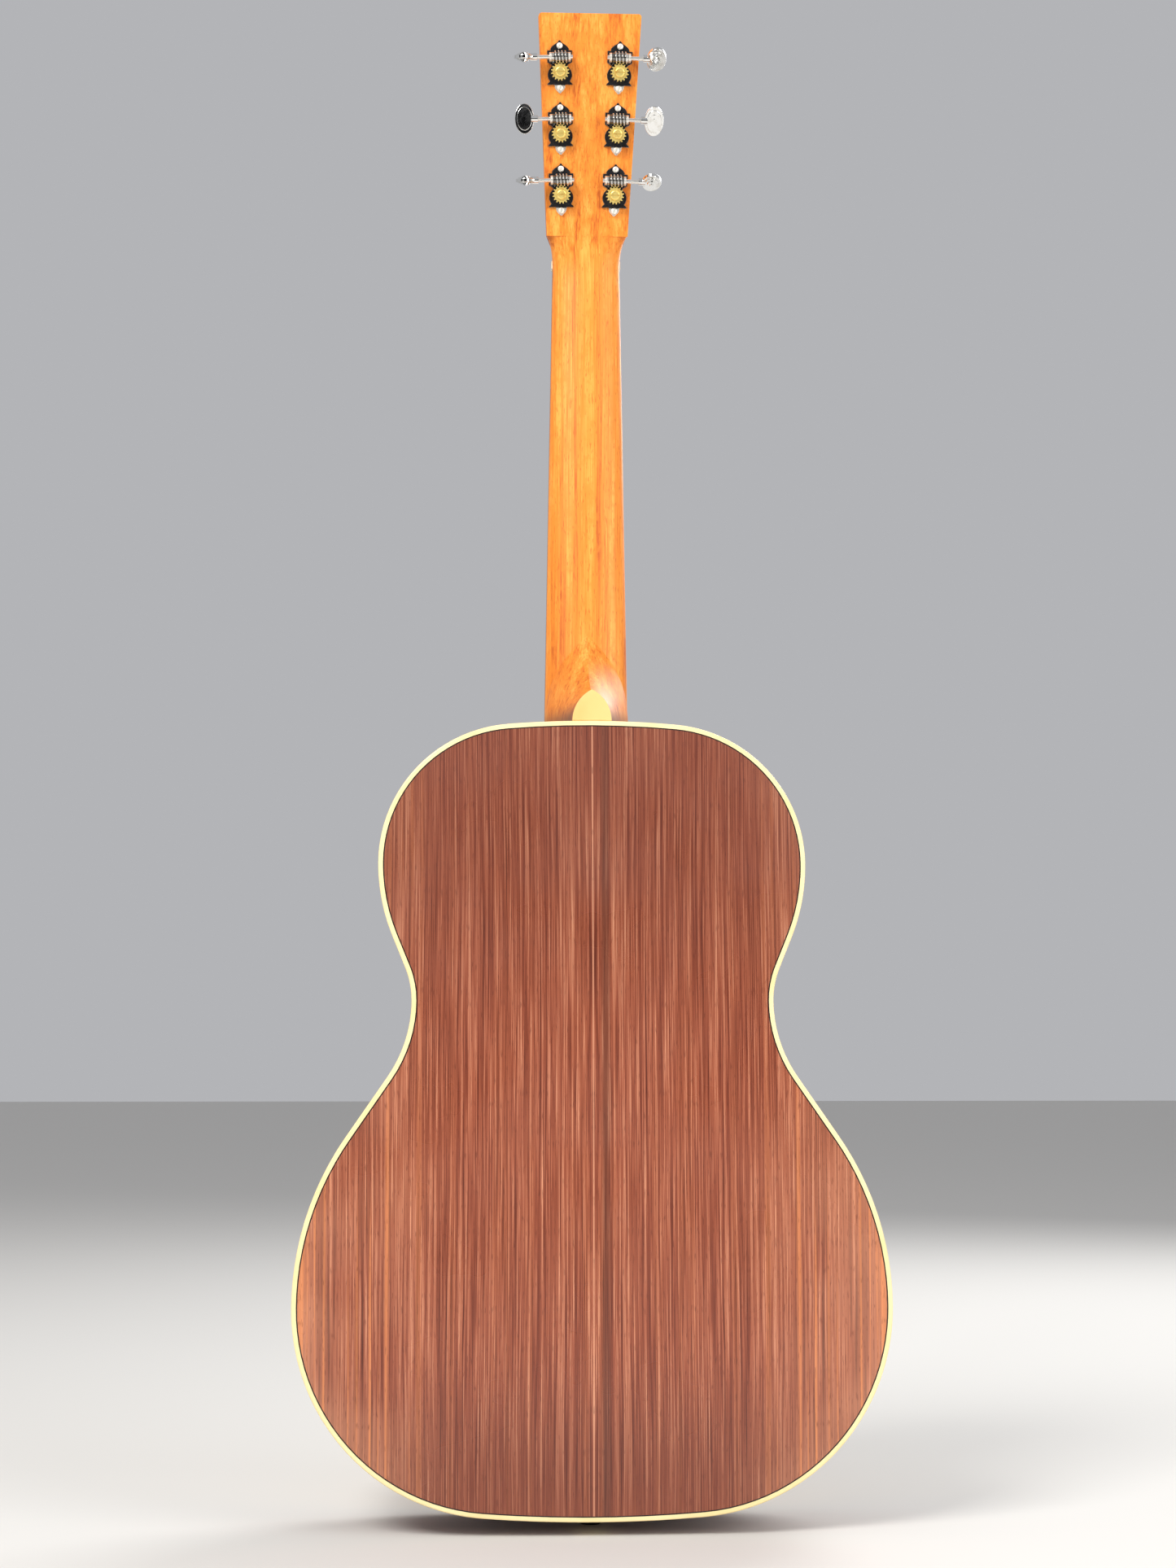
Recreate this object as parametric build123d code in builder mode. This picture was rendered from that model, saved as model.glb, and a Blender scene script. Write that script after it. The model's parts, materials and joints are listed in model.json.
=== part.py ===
"""Acoustic guitar with twelve frets to the body and six open-geared tuners, as separate pieces.

Frame: millimetres, +Z up along the neck, -Y towards the strings, +Y towards the back, +X the treble side.
The origin is the strap pin's centre, on the outside of the tail.
"""
from math import acos, asin, atan2, cos, degrees, hypot, pi, radians, sin, sqrt
import os

from build123d import *

os.makedirs("parts", exist_ok=True)

# ---------------------------------------------------------------- driving dimensions, in millimetres
# body outline, measured from the tail
body_length = 508.0
lower_bout_width = 381.0
waist_width = lower_bout_width * 0.609
upper_bout_width = lower_bout_width * 0.7244
lower_bout_z = body_length * 0.2618
waist_z = body_length * 0.6417
upper_bout_z = body_length * 0.8169
tail_curve_r = 900.0
head_curve_r = 650.0
hip_fullness = 0.95
hip_share = 0.689
chest_fullness = 0.942
chest_share = 0.694
tail_depth = 105.0
heel_depth = 82.0
back_dome_r = 4572.0

# plates, sides and what stiffens them
top_thickness = 2.8
back_thickness = 2.6
side_thickness = 2.2
binding_width = 3.0
binding_height = 6.0
binding_round = 0.9
purfling_width = 0.8
purfling_depth = 1.4
lining_width = 6.0
lining_height = 14.0
neck_block_width = 76.0
neck_block_length = 24.0
tail_block_width = 64.0
tail_block_length = 16.0
graft_width = 18.0
brace_width = 7.5
brace_height = 13.0
brace_gap = 0.2
x_brace_below_hole = 36.0
x_brace_lean = 49.0
x_brace_length = 440.0
seam_strip_width = 15.0
seam_strip_thickness = 2.0

# soundhole, bridge and strings
soundhole_r = 49.0
rosette_inner_r = 54.0
rosette_outer_r = 62.0
rosette_depth = 1.2
scale_length = 645.2
frets_to_body = 12
fret_count = 20
nut_width = 46.0
board_body_width = 56.5
board_thickness = 6.0
board_radius = 406.0
fret_width = 2.0
fret_height = 1.1
fret_tang = 0.5
fret_tang_depth = 2.0
fret_end_inset = 0.3
fret_fit = 0.01
dot_r = 3.0
dot_depth = 1.5
nut_thickness = 5.5
nut_rise = 1.9
nut_overhang = 0.7
nut_string_spread = 38.5
nut_top_round = 1.0
nut_end_round = 0.6
bridge_string_spread = 55.0
string_diameters = (1.35, 1.07, 0.81, 0.61, 0.41, 0.30)
bridge_length = 154.0
bridge_width = 28.0
bridge_belly = 8.0
bridge_height = 9.0
bridge_wing_height = 3.5
bridge_core_length = 92.0
bridge_ahead_of_saddle = 8.0
bridge_scoop_length = 14.0
bridge_corner_round = 3.0
bridge_edge_round = 0.8
saddle_setback = 2.5
saddle_length = 76.0
saddle_width = 2.6
saddle_slot_depth = 6.0
saddle_rise = 3.0
pin_setback = 14.0
pin_hole_r = 2.8
pin_head_r = 3.9
pin_head_height = 2.4
pin_head_round = 1.8
pin_slot_start = 1.05
pin_slot_width = 1.75
pin_fit = 0.05
bridge_plate_length = 150.0
bridge_plate_width = 44.0
bridge_plate_thickness = 3.0
ball_r = 1.9

# neck, heel and headstock
neck_nut_depth = 15.5
neck_body_depth = 17.5
neck_edge_height = 1.5
heel_cap_width = 25.5
heel_cap_rise = 20.5
heel_cap_thickness = 3.0
heel_cap_bevel = 0.5
tenon_width = 19.0
tenon_top = 12.0
tenon_length = 16.0
head_angle = 16.0
head_length = 164.5
head_corner = 17.0
head_corner_width = 55.2
head_top_width = 69.4
head_thickness = 15.0
head_veneer = 2.0
head_top_round = 2.0
rod_width = 6.0
rod_depth = 9.6
rod_slack = 0.1
rod_centre_depth = 7.4
rod_end_r = 2.5
rod_nut_r = 4.1
rod_nut_length = 14.0
rod_nut_gap = 1.0
rod_nut_round = 0.5
rod_overlap = 9.0
rod_reach = 9.0
rod_key_r = 1.9
rod_key_depth = 5.0
rod_passage_r = 3.0
rod_stop = 12.0

# strap pin
pin_knob_r = 7.5
pin_neck_r = 4.6
pin_knob_length = 4.0
pin_knob_round = 1.6
pin_neck_length = 5.0
pin_collar = 1.0
pin_rim = 1.5
pin_shank_r = 5.0
pin_shank_length = 24.0

# tuners
tuner_first = 44.5
tuner_pitch = 40.6
tuner_low_spread = 36.4
tuner_high_spread = 40.2
plate_thickness = 1.5
plate_top = 20.8
plate_crown_half = 6.2
plate_shoulder = 14.2
plate_half = 8.4
plate_bracket_low = 5.6
plate_waist_half = 5.2
plate_waist = 3.6
plate_lobe_half = 8.2
plate_lobe = -1.5
plate_ear_half = 8.6
plate_ear = -8.4
plate_tip = -14.0
plate_tip_half = 0.5
plate_edge_bevel = 0.3
gear_teeth = 16
gear_pitch_r = 5.7
gear_addendum = 0.4
gear_dedendum = 0.7
gear_thickness = 2.4
gear_tip_width = 0.6
gear_root_width = 1.2
worm_pitch_r = 3.9
worm_addendum = 0.4
worm_dedendum = 0.7
worm_turns = 4
worm_shoulder = 0.8
thread_sink = 0.25
thread_tip_width = 0.55
thread_root_width = 1.3
worm_lift = 4.7
shaft_r = 1.5
shaft_fit = 0.05
tab_place = 6.4
tab_thickness = 1.5
tab_r = 3.1
shaft_inner_end = 8.6
button_start = 15.6
button_length = 15.4
button_height = 20.5
button_steps = ((1.0, 2.4), (0.74, 4.0), (0.48, 5.4), (0.22, 6.4))
button_step_round = 0.35
button_collar_r = 2.6
button_collar_length = 2.4
button_collar_sink = 2.0
button_grip = 9.0
post_r = 3.0
post_rise = 13.0
post_round = 0.7
post_hole_r = 0.9
post_hole_rise = 9.0
post_hub_r = 2.4
post_fit = 0.1
gear_hub_r = 3.6
gear_gap = 0.15
gear_screw_r = 1.2
gear_screw_head_r = 3.3
gear_screw_head = 1.5
gear_screw_round = 0.9
slot_width = 0.7
slot_depth = 0.6
bushing_fit = 0.05
bushing_r = 4.8
bushing_flange_r = 6.0
bushing_flange = 1.4
bushing_round = 0.6
bushing_length = 9.0
string_rises = {"low": 3.6, "middle": 4.8, "high": 5.8}
string_seat_gap = 0.15
string_wrap = 330.0
string_exit_offset = 1.9
string_landing = 6.0
nut_bend_inset = 0.8
nut_slot_gap = 0.08
string_fit = 0.08
string_lift_at_pin = 0.8
string_bends = (1.2, 3.0, 3.0, 20.0)
plate_screw_r = 1.1
plate_screw_head_r = 2.1
plate_screw_length = 9.0
plate_screw_head = 1.3
plate_screw_round = 1.0
plate_screw_up = 17.2
plate_screw_down = -10.6
button_turns = {"treble_low": 90.0, "treble_middle": 8.0, "treble_high": 90.0,
                "bass_low": 62.0, "bass_middle": 20.0, "bass_high": 48.0}

# ---------------------------------------------------------------- places worked out from the sizes
top_y = -tail_depth / 2
board_y = top_y - board_thickness
fret_top_y = board_y - fret_height
nut_z = body_length + scale_length * (1 - 2 ** (-frets_to_body / 12))
head_z = nut_z + nut_thickness
board_length = scale_length * (1 - 2 ** (-(fret_count + 0.45) / 12))
board_end_z = nut_z - board_length
board_taper = (board_body_width - nut_width) / (nut_z - body_length)
board_end_width = nut_width + board_taper * board_length
soundhole_z = board_end_z - soundhole_r
saddle_z = nut_z - scale_length - saddle_setback
pin_z = saddle_z - pin_setback
saddle_top_y = top_y - bridge_height - saddle_rise
string_y_at_nut = fret_top_y - 0.6
lowest_depth = 2 * tail_depth


def depth_y(depth):
    """The Y of a point this far behind the soundboard's face."""
    return top_y + depth


def at_depth(depth):
    """A drawing plane that faces the strings, this far behind the soundboard's face."""
    return Plane.XZ.offset(-depth_y(depth))


# the back is part of a ball whose skin passes through the tail's and the heel's back edges
dome_chord = hypot(body_length, tail_depth - heel_depth)
dome_reach = sqrt(back_dome_r ** 2 - (dome_chord / 2) ** 2)
dome_centre = (
    0,
    depth_y((tail_depth + heel_depth) / 2) - dome_reach * body_length / dome_chord,
    body_length / 2 - dome_reach * (tail_depth - heel_depth) / dome_chord,
)


def corner_radius(width, reach, end_r):
    """The radius that joins a bout's widest point to the flat arc across the body's end."""
    return (2 * end_r * reach - reach ** 2 - width ** 2 / 4) / (2 * end_r - width)


def s_curve(rise, run, fullness, share):
    """Two opposed arcs with a straight between them: the outer and inner radius, and their turn in
    degrees. At a fullness of 1 the straight has no length; the outer arc takes its share of the radii."""
    radii = fullness * (rise ** 2 + run ** 2) / (2 * rise)
    straight = sqrt((radii - rise) ** 2 + run ** 2 - radii ** 2)
    turn = degrees(atan2(run, radii - rise) - atan2(straight, radii))
    return radii * share, radii * (1 - share), turn


tail_corner_r = corner_radius(lower_bout_width, lower_bout_z, tail_curve_r)
head_corner_r = corner_radius(upper_bout_width, body_length - upper_bout_z, head_curve_r)
tail_corner_turn = degrees(atan2(tail_curve_r - lower_bout_z, lower_bout_width / 2 - tail_corner_r))
head_corner_turn = degrees(
    atan2(upper_bout_z - body_length + head_curve_r, upper_bout_width / 2 - head_corner_r)
)
lower_bout_r, waist_lower_r, lower_turn = s_curve(
    (lower_bout_width - waist_width) / 2, waist_z - lower_bout_z, hip_fullness, hip_share
)
upper_bout_r, waist_upper_r, upper_turn = s_curve(
    (upper_bout_width - waist_width) / 2, upper_bout_z - waist_z, chest_fullness, chest_share
)

with BuildSketch() as outline:
    with BuildLine():
        tail = CenterArc((0, tail_curve_r), tail_curve_r, -90, 90 - tail_corner_turn)
        CenterArc((lower_bout_width / 2 - tail_corner_r, lower_bout_z), tail_corner_r,
                  -tail_corner_turn, tail_corner_turn)
        hip = CenterArc((lower_bout_width / 2 - lower_bout_r, lower_bout_z), lower_bout_r,
                        0, lower_turn)
        waist_low = CenterArc((waist_width / 2 + waist_lower_r, waist_z), waist_lower_r,
                              180 + lower_turn, -lower_turn)
        waist_high = CenterArc((waist_width / 2 + waist_upper_r, waist_z), waist_upper_r, 180, -upper_turn)
        chest = CenterArc((upper_bout_width / 2 - upper_bout_r, upper_bout_z), upper_bout_r,
                          -upper_turn, upper_turn)
        Line(hip @ 1, waist_low @ 0)
        Line(waist_high @ 1, chest @ 0)
        CenterArc((upper_bout_width / 2 - head_corner_r, upper_bout_z), head_corner_r,
                  0, head_corner_turn)
        head = CenterArc((0, body_length - head_curve_r), head_curve_r,
                         head_corner_turn, 90 - head_corner_turn)
        Line(head @ 1, tail @ 0)
    make_face()
    mirror(about=Plane.YZ)


def body_area(inset=0.0, mode=Mode.ADD):
    """Draws the body's outline, inset from its edge."""
    if inset:
        offset(outline.sketch, amount=-inset, mode=mode)
    else:
        add(outline.sketch, mode=mode)


def body_ring(outer, inner):
    """Draws the band between two insets of the body's outline."""
    body_area(outer)
    body_area(inner, mode=Mode.SUBTRACT)


def keep_in_front_of_dome(inset):
    """Cuts the part being made to what lies in front of a skin inset from the back's."""
    with Locations(dome_centre):
        Sphere(back_dome_r - inset, mode=Mode.INTERSECT)


def keep_behind_dome(inset):
    """Cuts the part being made to what lies behind a skin inset from the back's."""
    with Locations(dome_centre):
        Sphere(back_dome_r - inset, mode=Mode.SUBTRACT)


def upright_box(low, high, mode=Mode.ADD):
    """A box between two corners given as (x, depth, z)."""
    x0, d0, z0 = low
    x1, d1, z1 = high
    with Locations(((x0 + x1) / 2, depth_y((d0 + d1) / 2), (z0 + z1) / 2)):
        Box(x1 - x0, d1 - d0, z1 - z0, mode=mode)


def rod_passage(mode=Mode.SUBTRACT):
    """The way for the truss rod's end, and for its key, from the soundhole to the neck."""
    reach = body_length + 1 - soundhole_z
    with Locations((0, depth_y(rod_centre_depth), soundhole_z + reach / 2)):
        Cylinder(rod_passage_r, reach, mode=mode)


def save(part, name):
    """Labels a finished piece and writes it."""
    part.label = name
    export_step(part, f"parts/{name}.step")


# ---------------------------------------------------------------- strings' places
def string_x(number, spread):
    """A string's place across the neck: 0 is the lowest string, on the bass side."""
    return -spread / 2 + spread * number / 5


pin_places = [(string_x(number, bridge_string_spread), pin_z) for number in range(6)]

# ---------------------------------------------------------------- soundboard and back
with BuildPart() as soundboard:
    with BuildSketch(at_depth(top_thickness)):
        body_area(binding_width)
        with Locations((0, soundhole_z)):
            Circle(soundhole_r, mode=Mode.SUBTRACT)
        with Locations(*pin_places):
            Circle(pin_hole_r, mode=Mode.SUBTRACT)
    extrude(amount=top_thickness)
    with BuildSketch(at_depth(purfling_depth)):
        body_ring(binding_width, binding_width + purfling_width)
    extrude(amount=purfling_depth, mode=Mode.SUBTRACT)
    with BuildSketch(at_depth(rosette_depth)):
        with Locations((0, soundhole_z)):
            Circle(rosette_outer_r)
            Circle(rosette_inner_r, mode=Mode.SUBTRACT)
    extrude(amount=rosette_depth, mode=Mode.SUBTRACT)
save(soundboard.part, "soundboard")

with BuildPart() as rosette:
    with BuildSketch(at_depth(rosette_depth)):
        with Locations((0, soundhole_z)):
            Circle(rosette_outer_r)
            Circle(rosette_inner_r, mode=Mode.SUBTRACT)
    extrude(amount=rosette_depth)
save(rosette.part, "rosette")

for side, edge in (("bass", -1), ("treble", 1)):
    with BuildPart() as back_half:
        with BuildSketch(at_depth(lowest_depth)):
            body_area(binding_width)
            with Locations((edge * lower_bout_width / 2, body_length / 2)):
                Rectangle(lower_bout_width, 2 * body_length, mode=Mode.INTERSECT)
        extrude(amount=lowest_depth)
        keep_in_front_of_dome(0)
        keep_behind_dome(back_thickness)
        with BuildPart(mode=Mode.PRIVATE) as groove:
            with BuildSketch(at_depth(lowest_depth)):
                body_ring(binding_width, binding_width + purfling_width)
            extrude(amount=lowest_depth)
            keep_behind_dome(purfling_depth)
        add(groove.part, mode=Mode.SUBTRACT)
    save(back_half.part, f"back_{side}")

# ---------------------------------------------------------------- bindings and purflings
with BuildPart() as top_binding:
    with BuildSketch(at_depth(binding_height)):
        body_ring(0, binding_width)
    extrude(amount=binding_height)
    front = top_binding.faces().sort_by(Axis.Y)[0]
    fillet(front.outer_wire().edges(), binding_round)
    rod_passage()
save(top_binding.part, "top_binding")

with BuildPart() as back_binding:
    with BuildSketch(at_depth(lowest_depth)):
        body_ring(0, binding_width)
    extrude(amount=lowest_depth)
    keep_in_front_of_dome(0)
    keep_behind_dome(binding_height)
    skin = back_binding.faces().filter_by(GeomType.SPHERE).sort_by(Axis.Y)[-1]
    fillet(skin.outer_wire().edges(), binding_round)
save(back_binding.part, "back_binding")

with BuildPart() as top_purfling:
    with BuildSketch(at_depth(purfling_depth)):
        body_ring(binding_width, binding_width + purfling_width)
    extrude(amount=purfling_depth)
save(top_purfling.part, "top_purfling")

with BuildPart() as back_purfling:
    with BuildSketch(at_depth(lowest_depth)):
        body_ring(binding_width, binding_width + purfling_width)
    extrude(amount=lowest_depth)
    keep_in_front_of_dome(0)
    keep_behind_dome(purfling_depth)
save(back_purfling.part, "back_purfling")

# ---------------------------------------------------------------- sides, graft and strap pin
for side, edge in (("bass", -1), ("treble", 1)):
    with BuildPart() as side_half:
        with BuildSketch(at_depth(lowest_depth)):
            body_ring(0, side_thickness)
            with Locations((edge * lower_bout_width / 2, body_length / 2)):
                Rectangle(lower_bout_width, 2 * body_length, mode=Mode.INTERSECT)
            with Locations((0, 0)):
                Rectangle(graft_width, body_length, mode=Mode.SUBTRACT)
            with Locations((0, body_length)):
                Rectangle(tenon_width, body_length / 4, mode=Mode.SUBTRACT)
        extrude(amount=lowest_depth - binding_height)
        keep_in_front_of_dome(binding_height)
    save(side_half.part, f"side_{side}")

with BuildPart() as end_graft:
    with BuildSketch(at_depth(lowest_depth)):
        body_ring(0, side_thickness)
        with Locations((0, 0)):
            Rectangle(graft_width, body_length, mode=Mode.INTERSECT)
    extrude(amount=lowest_depth - binding_height)
    keep_in_front_of_dome(binding_height)
    Cylinder(pin_shank_r, body_length / 2, mode=Mode.SUBTRACT)
save(end_graft.part, "end_graft")

with BuildPart() as end_pin:
    with BuildSketch(Plane.YZ):
        with BuildLine():
            base = Line((0, pin_shank_length), (pin_shank_r, pin_shank_length))
            shank = Line(base @ 1, (pin_shank_r, 0))
            seat = Line(shank @ 1, (pin_knob_r, 0))
            collar = Line(seat @ 1, (pin_knob_r, -pin_collar))
            waist = Line(collar @ 1, (pin_neck_r, -2 * pin_collar))
            stem = Line(waist @ 1, (pin_neck_r, -pin_neck_length))
            rim = Line(stem @ 1, (pin_knob_r, -pin_neck_length - pin_rim))
            knob = Line(rim @ 1, (pin_knob_r, -pin_neck_length - pin_knob_length))
            crown = Line(knob @ 1, (0, -pin_neck_length - pin_knob_length))
            Line(crown @ 1, base @ 0)
        make_face()
    revolve(axis=Axis.Z)
    fillet(end_pin.faces().sort_by(Axis.Z)[0].edges(), pin_knob_round)
save(end_pin.part, "end_pin")

# ---------------------------------------------------------------- blocks, linings and braces inside
with BuildPart() as neck_block:
    with BuildSketch(at_depth(lowest_depth)):
        body_area(side_thickness)
        with Locations((0, body_length)):
            Rectangle(neck_block_width, 2 * neck_block_length, mode=Mode.INTERSECT)
    extrude(amount=lowest_depth - top_thickness)
    keep_in_front_of_dome(back_thickness)
    upright_box((-tenon_width / 2, tenon_top, body_length - tenon_length - side_thickness),
                (tenon_width / 2, lowest_depth, body_length), mode=Mode.SUBTRACT)
    with BuildPart(mode=Mode.PRIVATE) as binding_room:
        with BuildSketch(at_depth(lowest_depth)):
            body_ring(0, binding_width)
        extrude(amount=lowest_depth)
    with BuildPart(mode=Mode.PRIVATE) as between_bindings:
        upright_box((-lower_bout_width, binding_height, 0),
                    (lower_bout_width, lowest_depth, body_length))
        keep_in_front_of_dome(binding_height)
    add(binding_room.part - between_bindings.part, mode=Mode.SUBTRACT)
    rod_passage()
save(neck_block.part, "neck_block")

with BuildPart() as tail_block:
    with BuildSketch(at_depth(lowest_depth)):
        body_area(side_thickness)
        with Locations((0, 0)):
            Rectangle(tail_block_width, 2 * tail_block_length, mode=Mode.INTERSECT)
    extrude(amount=lowest_depth - top_thickness)
    keep_in_front_of_dome(back_thickness)
    add(binding_room.part - between_bindings.part, mode=Mode.SUBTRACT)
    Cylinder(pin_shank_r, body_length / 2, mode=Mode.SUBTRACT)
save(tail_block.part, "tail_block")


def lining_band():
    """Draws the linings' band, open at the two end blocks."""
    body_ring(side_thickness, side_thickness + lining_width)
    with Locations((0, body_length)):
        Rectangle(neck_block_width, 4 * neck_block_length, mode=Mode.SUBTRACT)
    with Locations((0, 0)):
        Rectangle(tail_block_width, 4 * tail_block_length, mode=Mode.SUBTRACT)


with BuildPart() as linings:
    with BuildSketch(at_depth(top_thickness + lining_height)):
        lining_band()
    extrude(amount=lining_height)
    add(binding_room.part - between_bindings.part, mode=Mode.SUBTRACT)
with BuildPart() as back_linings:
    with BuildSketch(at_depth(lowest_depth)):
        lining_band()
    extrude(amount=lowest_depth)
    keep_in_front_of_dome(back_thickness)
    keep_behind_dome(back_thickness + lining_height)
    add(binding_room.part - between_bindings.part, mode=Mode.SUBTRACT)
save(Compound([linings.part, back_linings.part]), "linings")

brace_area_inset = side_thickness + lining_width + brace_gap
x_cross_z = soundhole_z - soundhole_r - x_brace_below_hole
bridge_plate_z = (saddle_z + pin_z) / 2
# each straight brace of the soundboard: its middle (x, z), its length and its lean from crosswise
top_brace_places = (
    ((0, soundhole_z + soundhole_r + 16.0), 300.0, 0.0),
    ((62.0, pin_z - 14.0), 104.0, -38.0),
    ((36.0, pin_z - 62.0), 110.0, -38.0),
    ((-112.0, pin_z + 22.0), 62.0, 22.0),
    ((128.0, pin_z + 30.0), 58.0, -22.0),
    ((-62.0, soundhole_z), 60.0, 78.0),
    ((62.0, soundhole_z), 60.0, -78.0),
)
with BuildPart() as top_braces:
    with BuildSketch(at_depth(top_thickness + brace_height)):
        for lean in (x_brace_lean, -x_brace_lean):
            with Locations(Location((0, x_cross_z), lean)):
                Rectangle(x_brace_length, brace_width)
        for (x, z), length, lean in top_brace_places:
            with Locations(Location((x, z), lean)):
                Rectangle(length, brace_width)
        with BuildSketch(mode=Mode.PRIVATE) as brace_room:
            body_area(brace_area_inset)
        add(brace_room.sketch, mode=Mode.INTERSECT)
        with Locations((0, bridge_plate_z)):
            Rectangle(bridge_plate_length, bridge_plate_width, mode=Mode.SUBTRACT)
    extrude(amount=brace_height)
    upright_box((-lower_bout_width, top_thickness, -1),
                (lower_bout_width, top_thickness + brace_height + 1, tail_block_length + lining_width),
                mode=Mode.SUBTRACT)
    rod_passage()
save(top_braces.part, "top_braces")

with BuildPart() as bridge_plate:
    with BuildSketch(at_depth(top_thickness + bridge_plate_thickness)):
        with Locations((0, bridge_plate_z)):
            Rectangle(bridge_plate_length, bridge_plate_width)
        with Locations(*pin_places):
            Circle(pin_hole_r, mode=Mode.SUBTRACT)
    extrude(amount=bridge_plate_thickness)
save(bridge_plate.part, "bridge_plate")

back_brace_places = [body_length * share for share in (0.13, 0.36, 0.62, 0.86)]
with BuildPart() as back_braces:
    with BuildSketch(at_depth(lowest_depth)):
        body_area(brace_area_inset)
        with BuildSketch(mode=Mode.PRIVATE) as ladder:
            with Locations(*[(0, z) for z in back_brace_places]):
                Rectangle(lower_bout_width, brace_width)
        add(ladder.sketch, mode=Mode.INTERSECT)
    extrude(amount=lowest_depth)
    keep_in_front_of_dome(back_thickness)
    keep_behind_dome(back_thickness + brace_height)
save(back_braces.part, "back_braces")

with BuildPart() as back_seam_strip:
    with BuildSketch(at_depth(lowest_depth)):
        Rectangle(seam_strip_width, body_length - neck_block_length - side_thickness,
                  align=(Align.CENTER, Align.MIN))
        Rectangle(seam_strip_width, 2 * (tail_block_length + side_thickness), mode=Mode.SUBTRACT)
        with Locations(*[(0, z) for z in back_brace_places]):
            Rectangle(2 * seam_strip_width, brace_width, mode=Mode.SUBTRACT)
    extrude(amount=lowest_depth)
    keep_in_front_of_dome(back_thickness)
    keep_behind_dome(back_thickness + seam_strip_thickness)
save(back_seam_strip.part, "back_seam_strip")

# ---------------------------------------------------------------- neck and heel
tilt = radians(head_angle)
head_plane = Plane((0, top_y, head_z), x_dir=(1, 0, 0), z_dir=(0, -cos(tilt), sin(tilt)))


def neck_width(z):
    """The fingerboard's width at a height."""
    return nut_width + board_taper * (nut_z - z)


def neck_depth(z):
    """The neck's thickness below the fingerboard at a height."""
    return neck_nut_depth + (neck_body_depth - neck_nut_depth) * (nut_z - z) / (nut_z - body_length)


def neck_section(width, depth, fullness, above=0.0):
    """Draws the neck's cross-section: x across it, y towards the back, from a round D to nearly a box."""
    half = width / 2
    flank = depth - neck_edge_height
    with BuildLine() as shape:
        top = Line((-half, -above), (half, -above))
        right = Line(top @ 1, (half, neck_edge_height))
        right_round = Bezier(right @ 1, (half, neck_edge_height + flank * fullness),
                             (half * fullness, depth), (0, depth))
        left_round = Bezier(right_round @ 1, (-half * fullness, depth),
                            (-half, neck_edge_height + flank * fullness), (-half, neck_edge_height))
        Line(left_round @ 1, top @ 0)
    make_face(shape.edges())


def across_neck(y, z, lean):
    """A plane across the neck at a point on its front face, leaning back by an angle in degrees."""
    return Plane((0, y, z), x_dir=(1, 0, 0), z_dir=(0, sin(radians(lean)), cos(radians(lean))))


def head_point(along, behind=0.0):
    """The Y and Z of a point on the headstock's centre line, along its front face and behind it."""
    return (top_y + along * sin(tilt) + behind * cos(tilt),
            head_z + along * cos(tilt) - behind * sin(tilt))


round_neck = 0.5523
# the neck's sections from the body to the nut, then over the bend into the headstock's flat blank:
# (y, z, lean, width, depth, fullness)
blend_start = nut_z - 30.0
bend_sections = (
    (top_y, blend_start, 0.0, neck_width(blend_start), neck_depth(blend_start), round_neck),
    (top_y, nut_z - 14.0, 0.0, neck_width(nut_z - 14.0), neck_depth(nut_z - 14.0), round_neck + 0.02),
    (top_y, nut_z, head_angle * 0.35, nut_width, neck_nut_depth + 0.2, round_neck + 0.1),
    (*head_point(8.0), head_angle * 0.9, nut_width + 2.4, head_thickness + 0.1, 0.82),
    (*head_point(head_corner), head_angle, head_corner_width, head_thickness, 0.997),
)
heel_sections = ((2.0, 56.0, 100.0), (14.0, 54.5, 72.0), (30.0, 44.5, 46.0), (46.0, 36.0, 31.5),
                 (62.0, 29.5, 23.8), (heel_depth - heel_cap_thickness, heel_cap_width, heel_cap_rise))
heel_root = 4.0


def arch(width, rise):
    """Draws a pointed arch that stands on the body, with its foot sunk in it."""
    radius = (width ** 2 / 4 + rise ** 2) / width
    reach = degrees(atan2(rise, radius - width / 2))
    with BuildLine() as shape:
        right = CenterArc((width / 2 - radius, body_length), radius, 0, reach)
        left = CenterArc((radius - width / 2, body_length), radius, 180 - reach, reach)
        left_foot = Line(left @ 1, (-width / 2, body_length - heel_root))
        foot = Line(left_foot @ 1, (width / 2, body_length - heel_root))
        Line(foot @ 1, right @ 0)
    make_face(shape.edges())


with BuildPart() as body_envelope:
    with BuildSketch(at_depth(lowest_depth)):
        body_area()
    extrude(amount=lowest_depth + board_thickness)

with BuildPart() as heel:
    for depth, width, rise in heel_sections:
        with BuildSketch(at_depth(depth)):
            arch(width, rise)
    loft()
    add(body_envelope.part, mode=Mode.SUBTRACT)

with BuildPart() as neck_shaft:
    with BuildSketch(across_neck(top_y, body_length - heel_root, 0)):
        neck_section(neck_width(body_length - heel_root), neck_depth(body_length), round_neck)
    with BuildSketch(across_neck(top_y, blend_start, 0)):
        neck_section(neck_width(blend_start), neck_depth(blend_start), round_neck)
    loft()
    add(body_envelope.part, mode=Mode.SUBTRACT)

with BuildPart() as neck_bend:
    for y, z, lean, width, depth, fullness in bend_sections:
        with BuildSketch(across_neck(y, z, lean)):
            neck_section(width, depth, fullness, above=4.0)
    loft()
    with BuildPart(mode=Mode.PRIVATE) as face_waste:
        with BuildSketch(Plane.YZ.offset(-nut_width)):
            with BuildLine():
                low = Line((top_y, blend_start - 1), (top_y, head_z))
                high = Line(low @ 1, head_point(2 * head_corner))
                out = Line(high @ 1, (top_y - head_corner, head_z + 2 * head_corner))
                down = Line(out @ 1, (top_y - head_corner, blend_start - 1))
                Line(down @ 1, low @ 0)
            make_face()
        extrude(amount=2 * nut_width)
    add(face_waste.part, mode=Mode.SUBTRACT)

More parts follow.
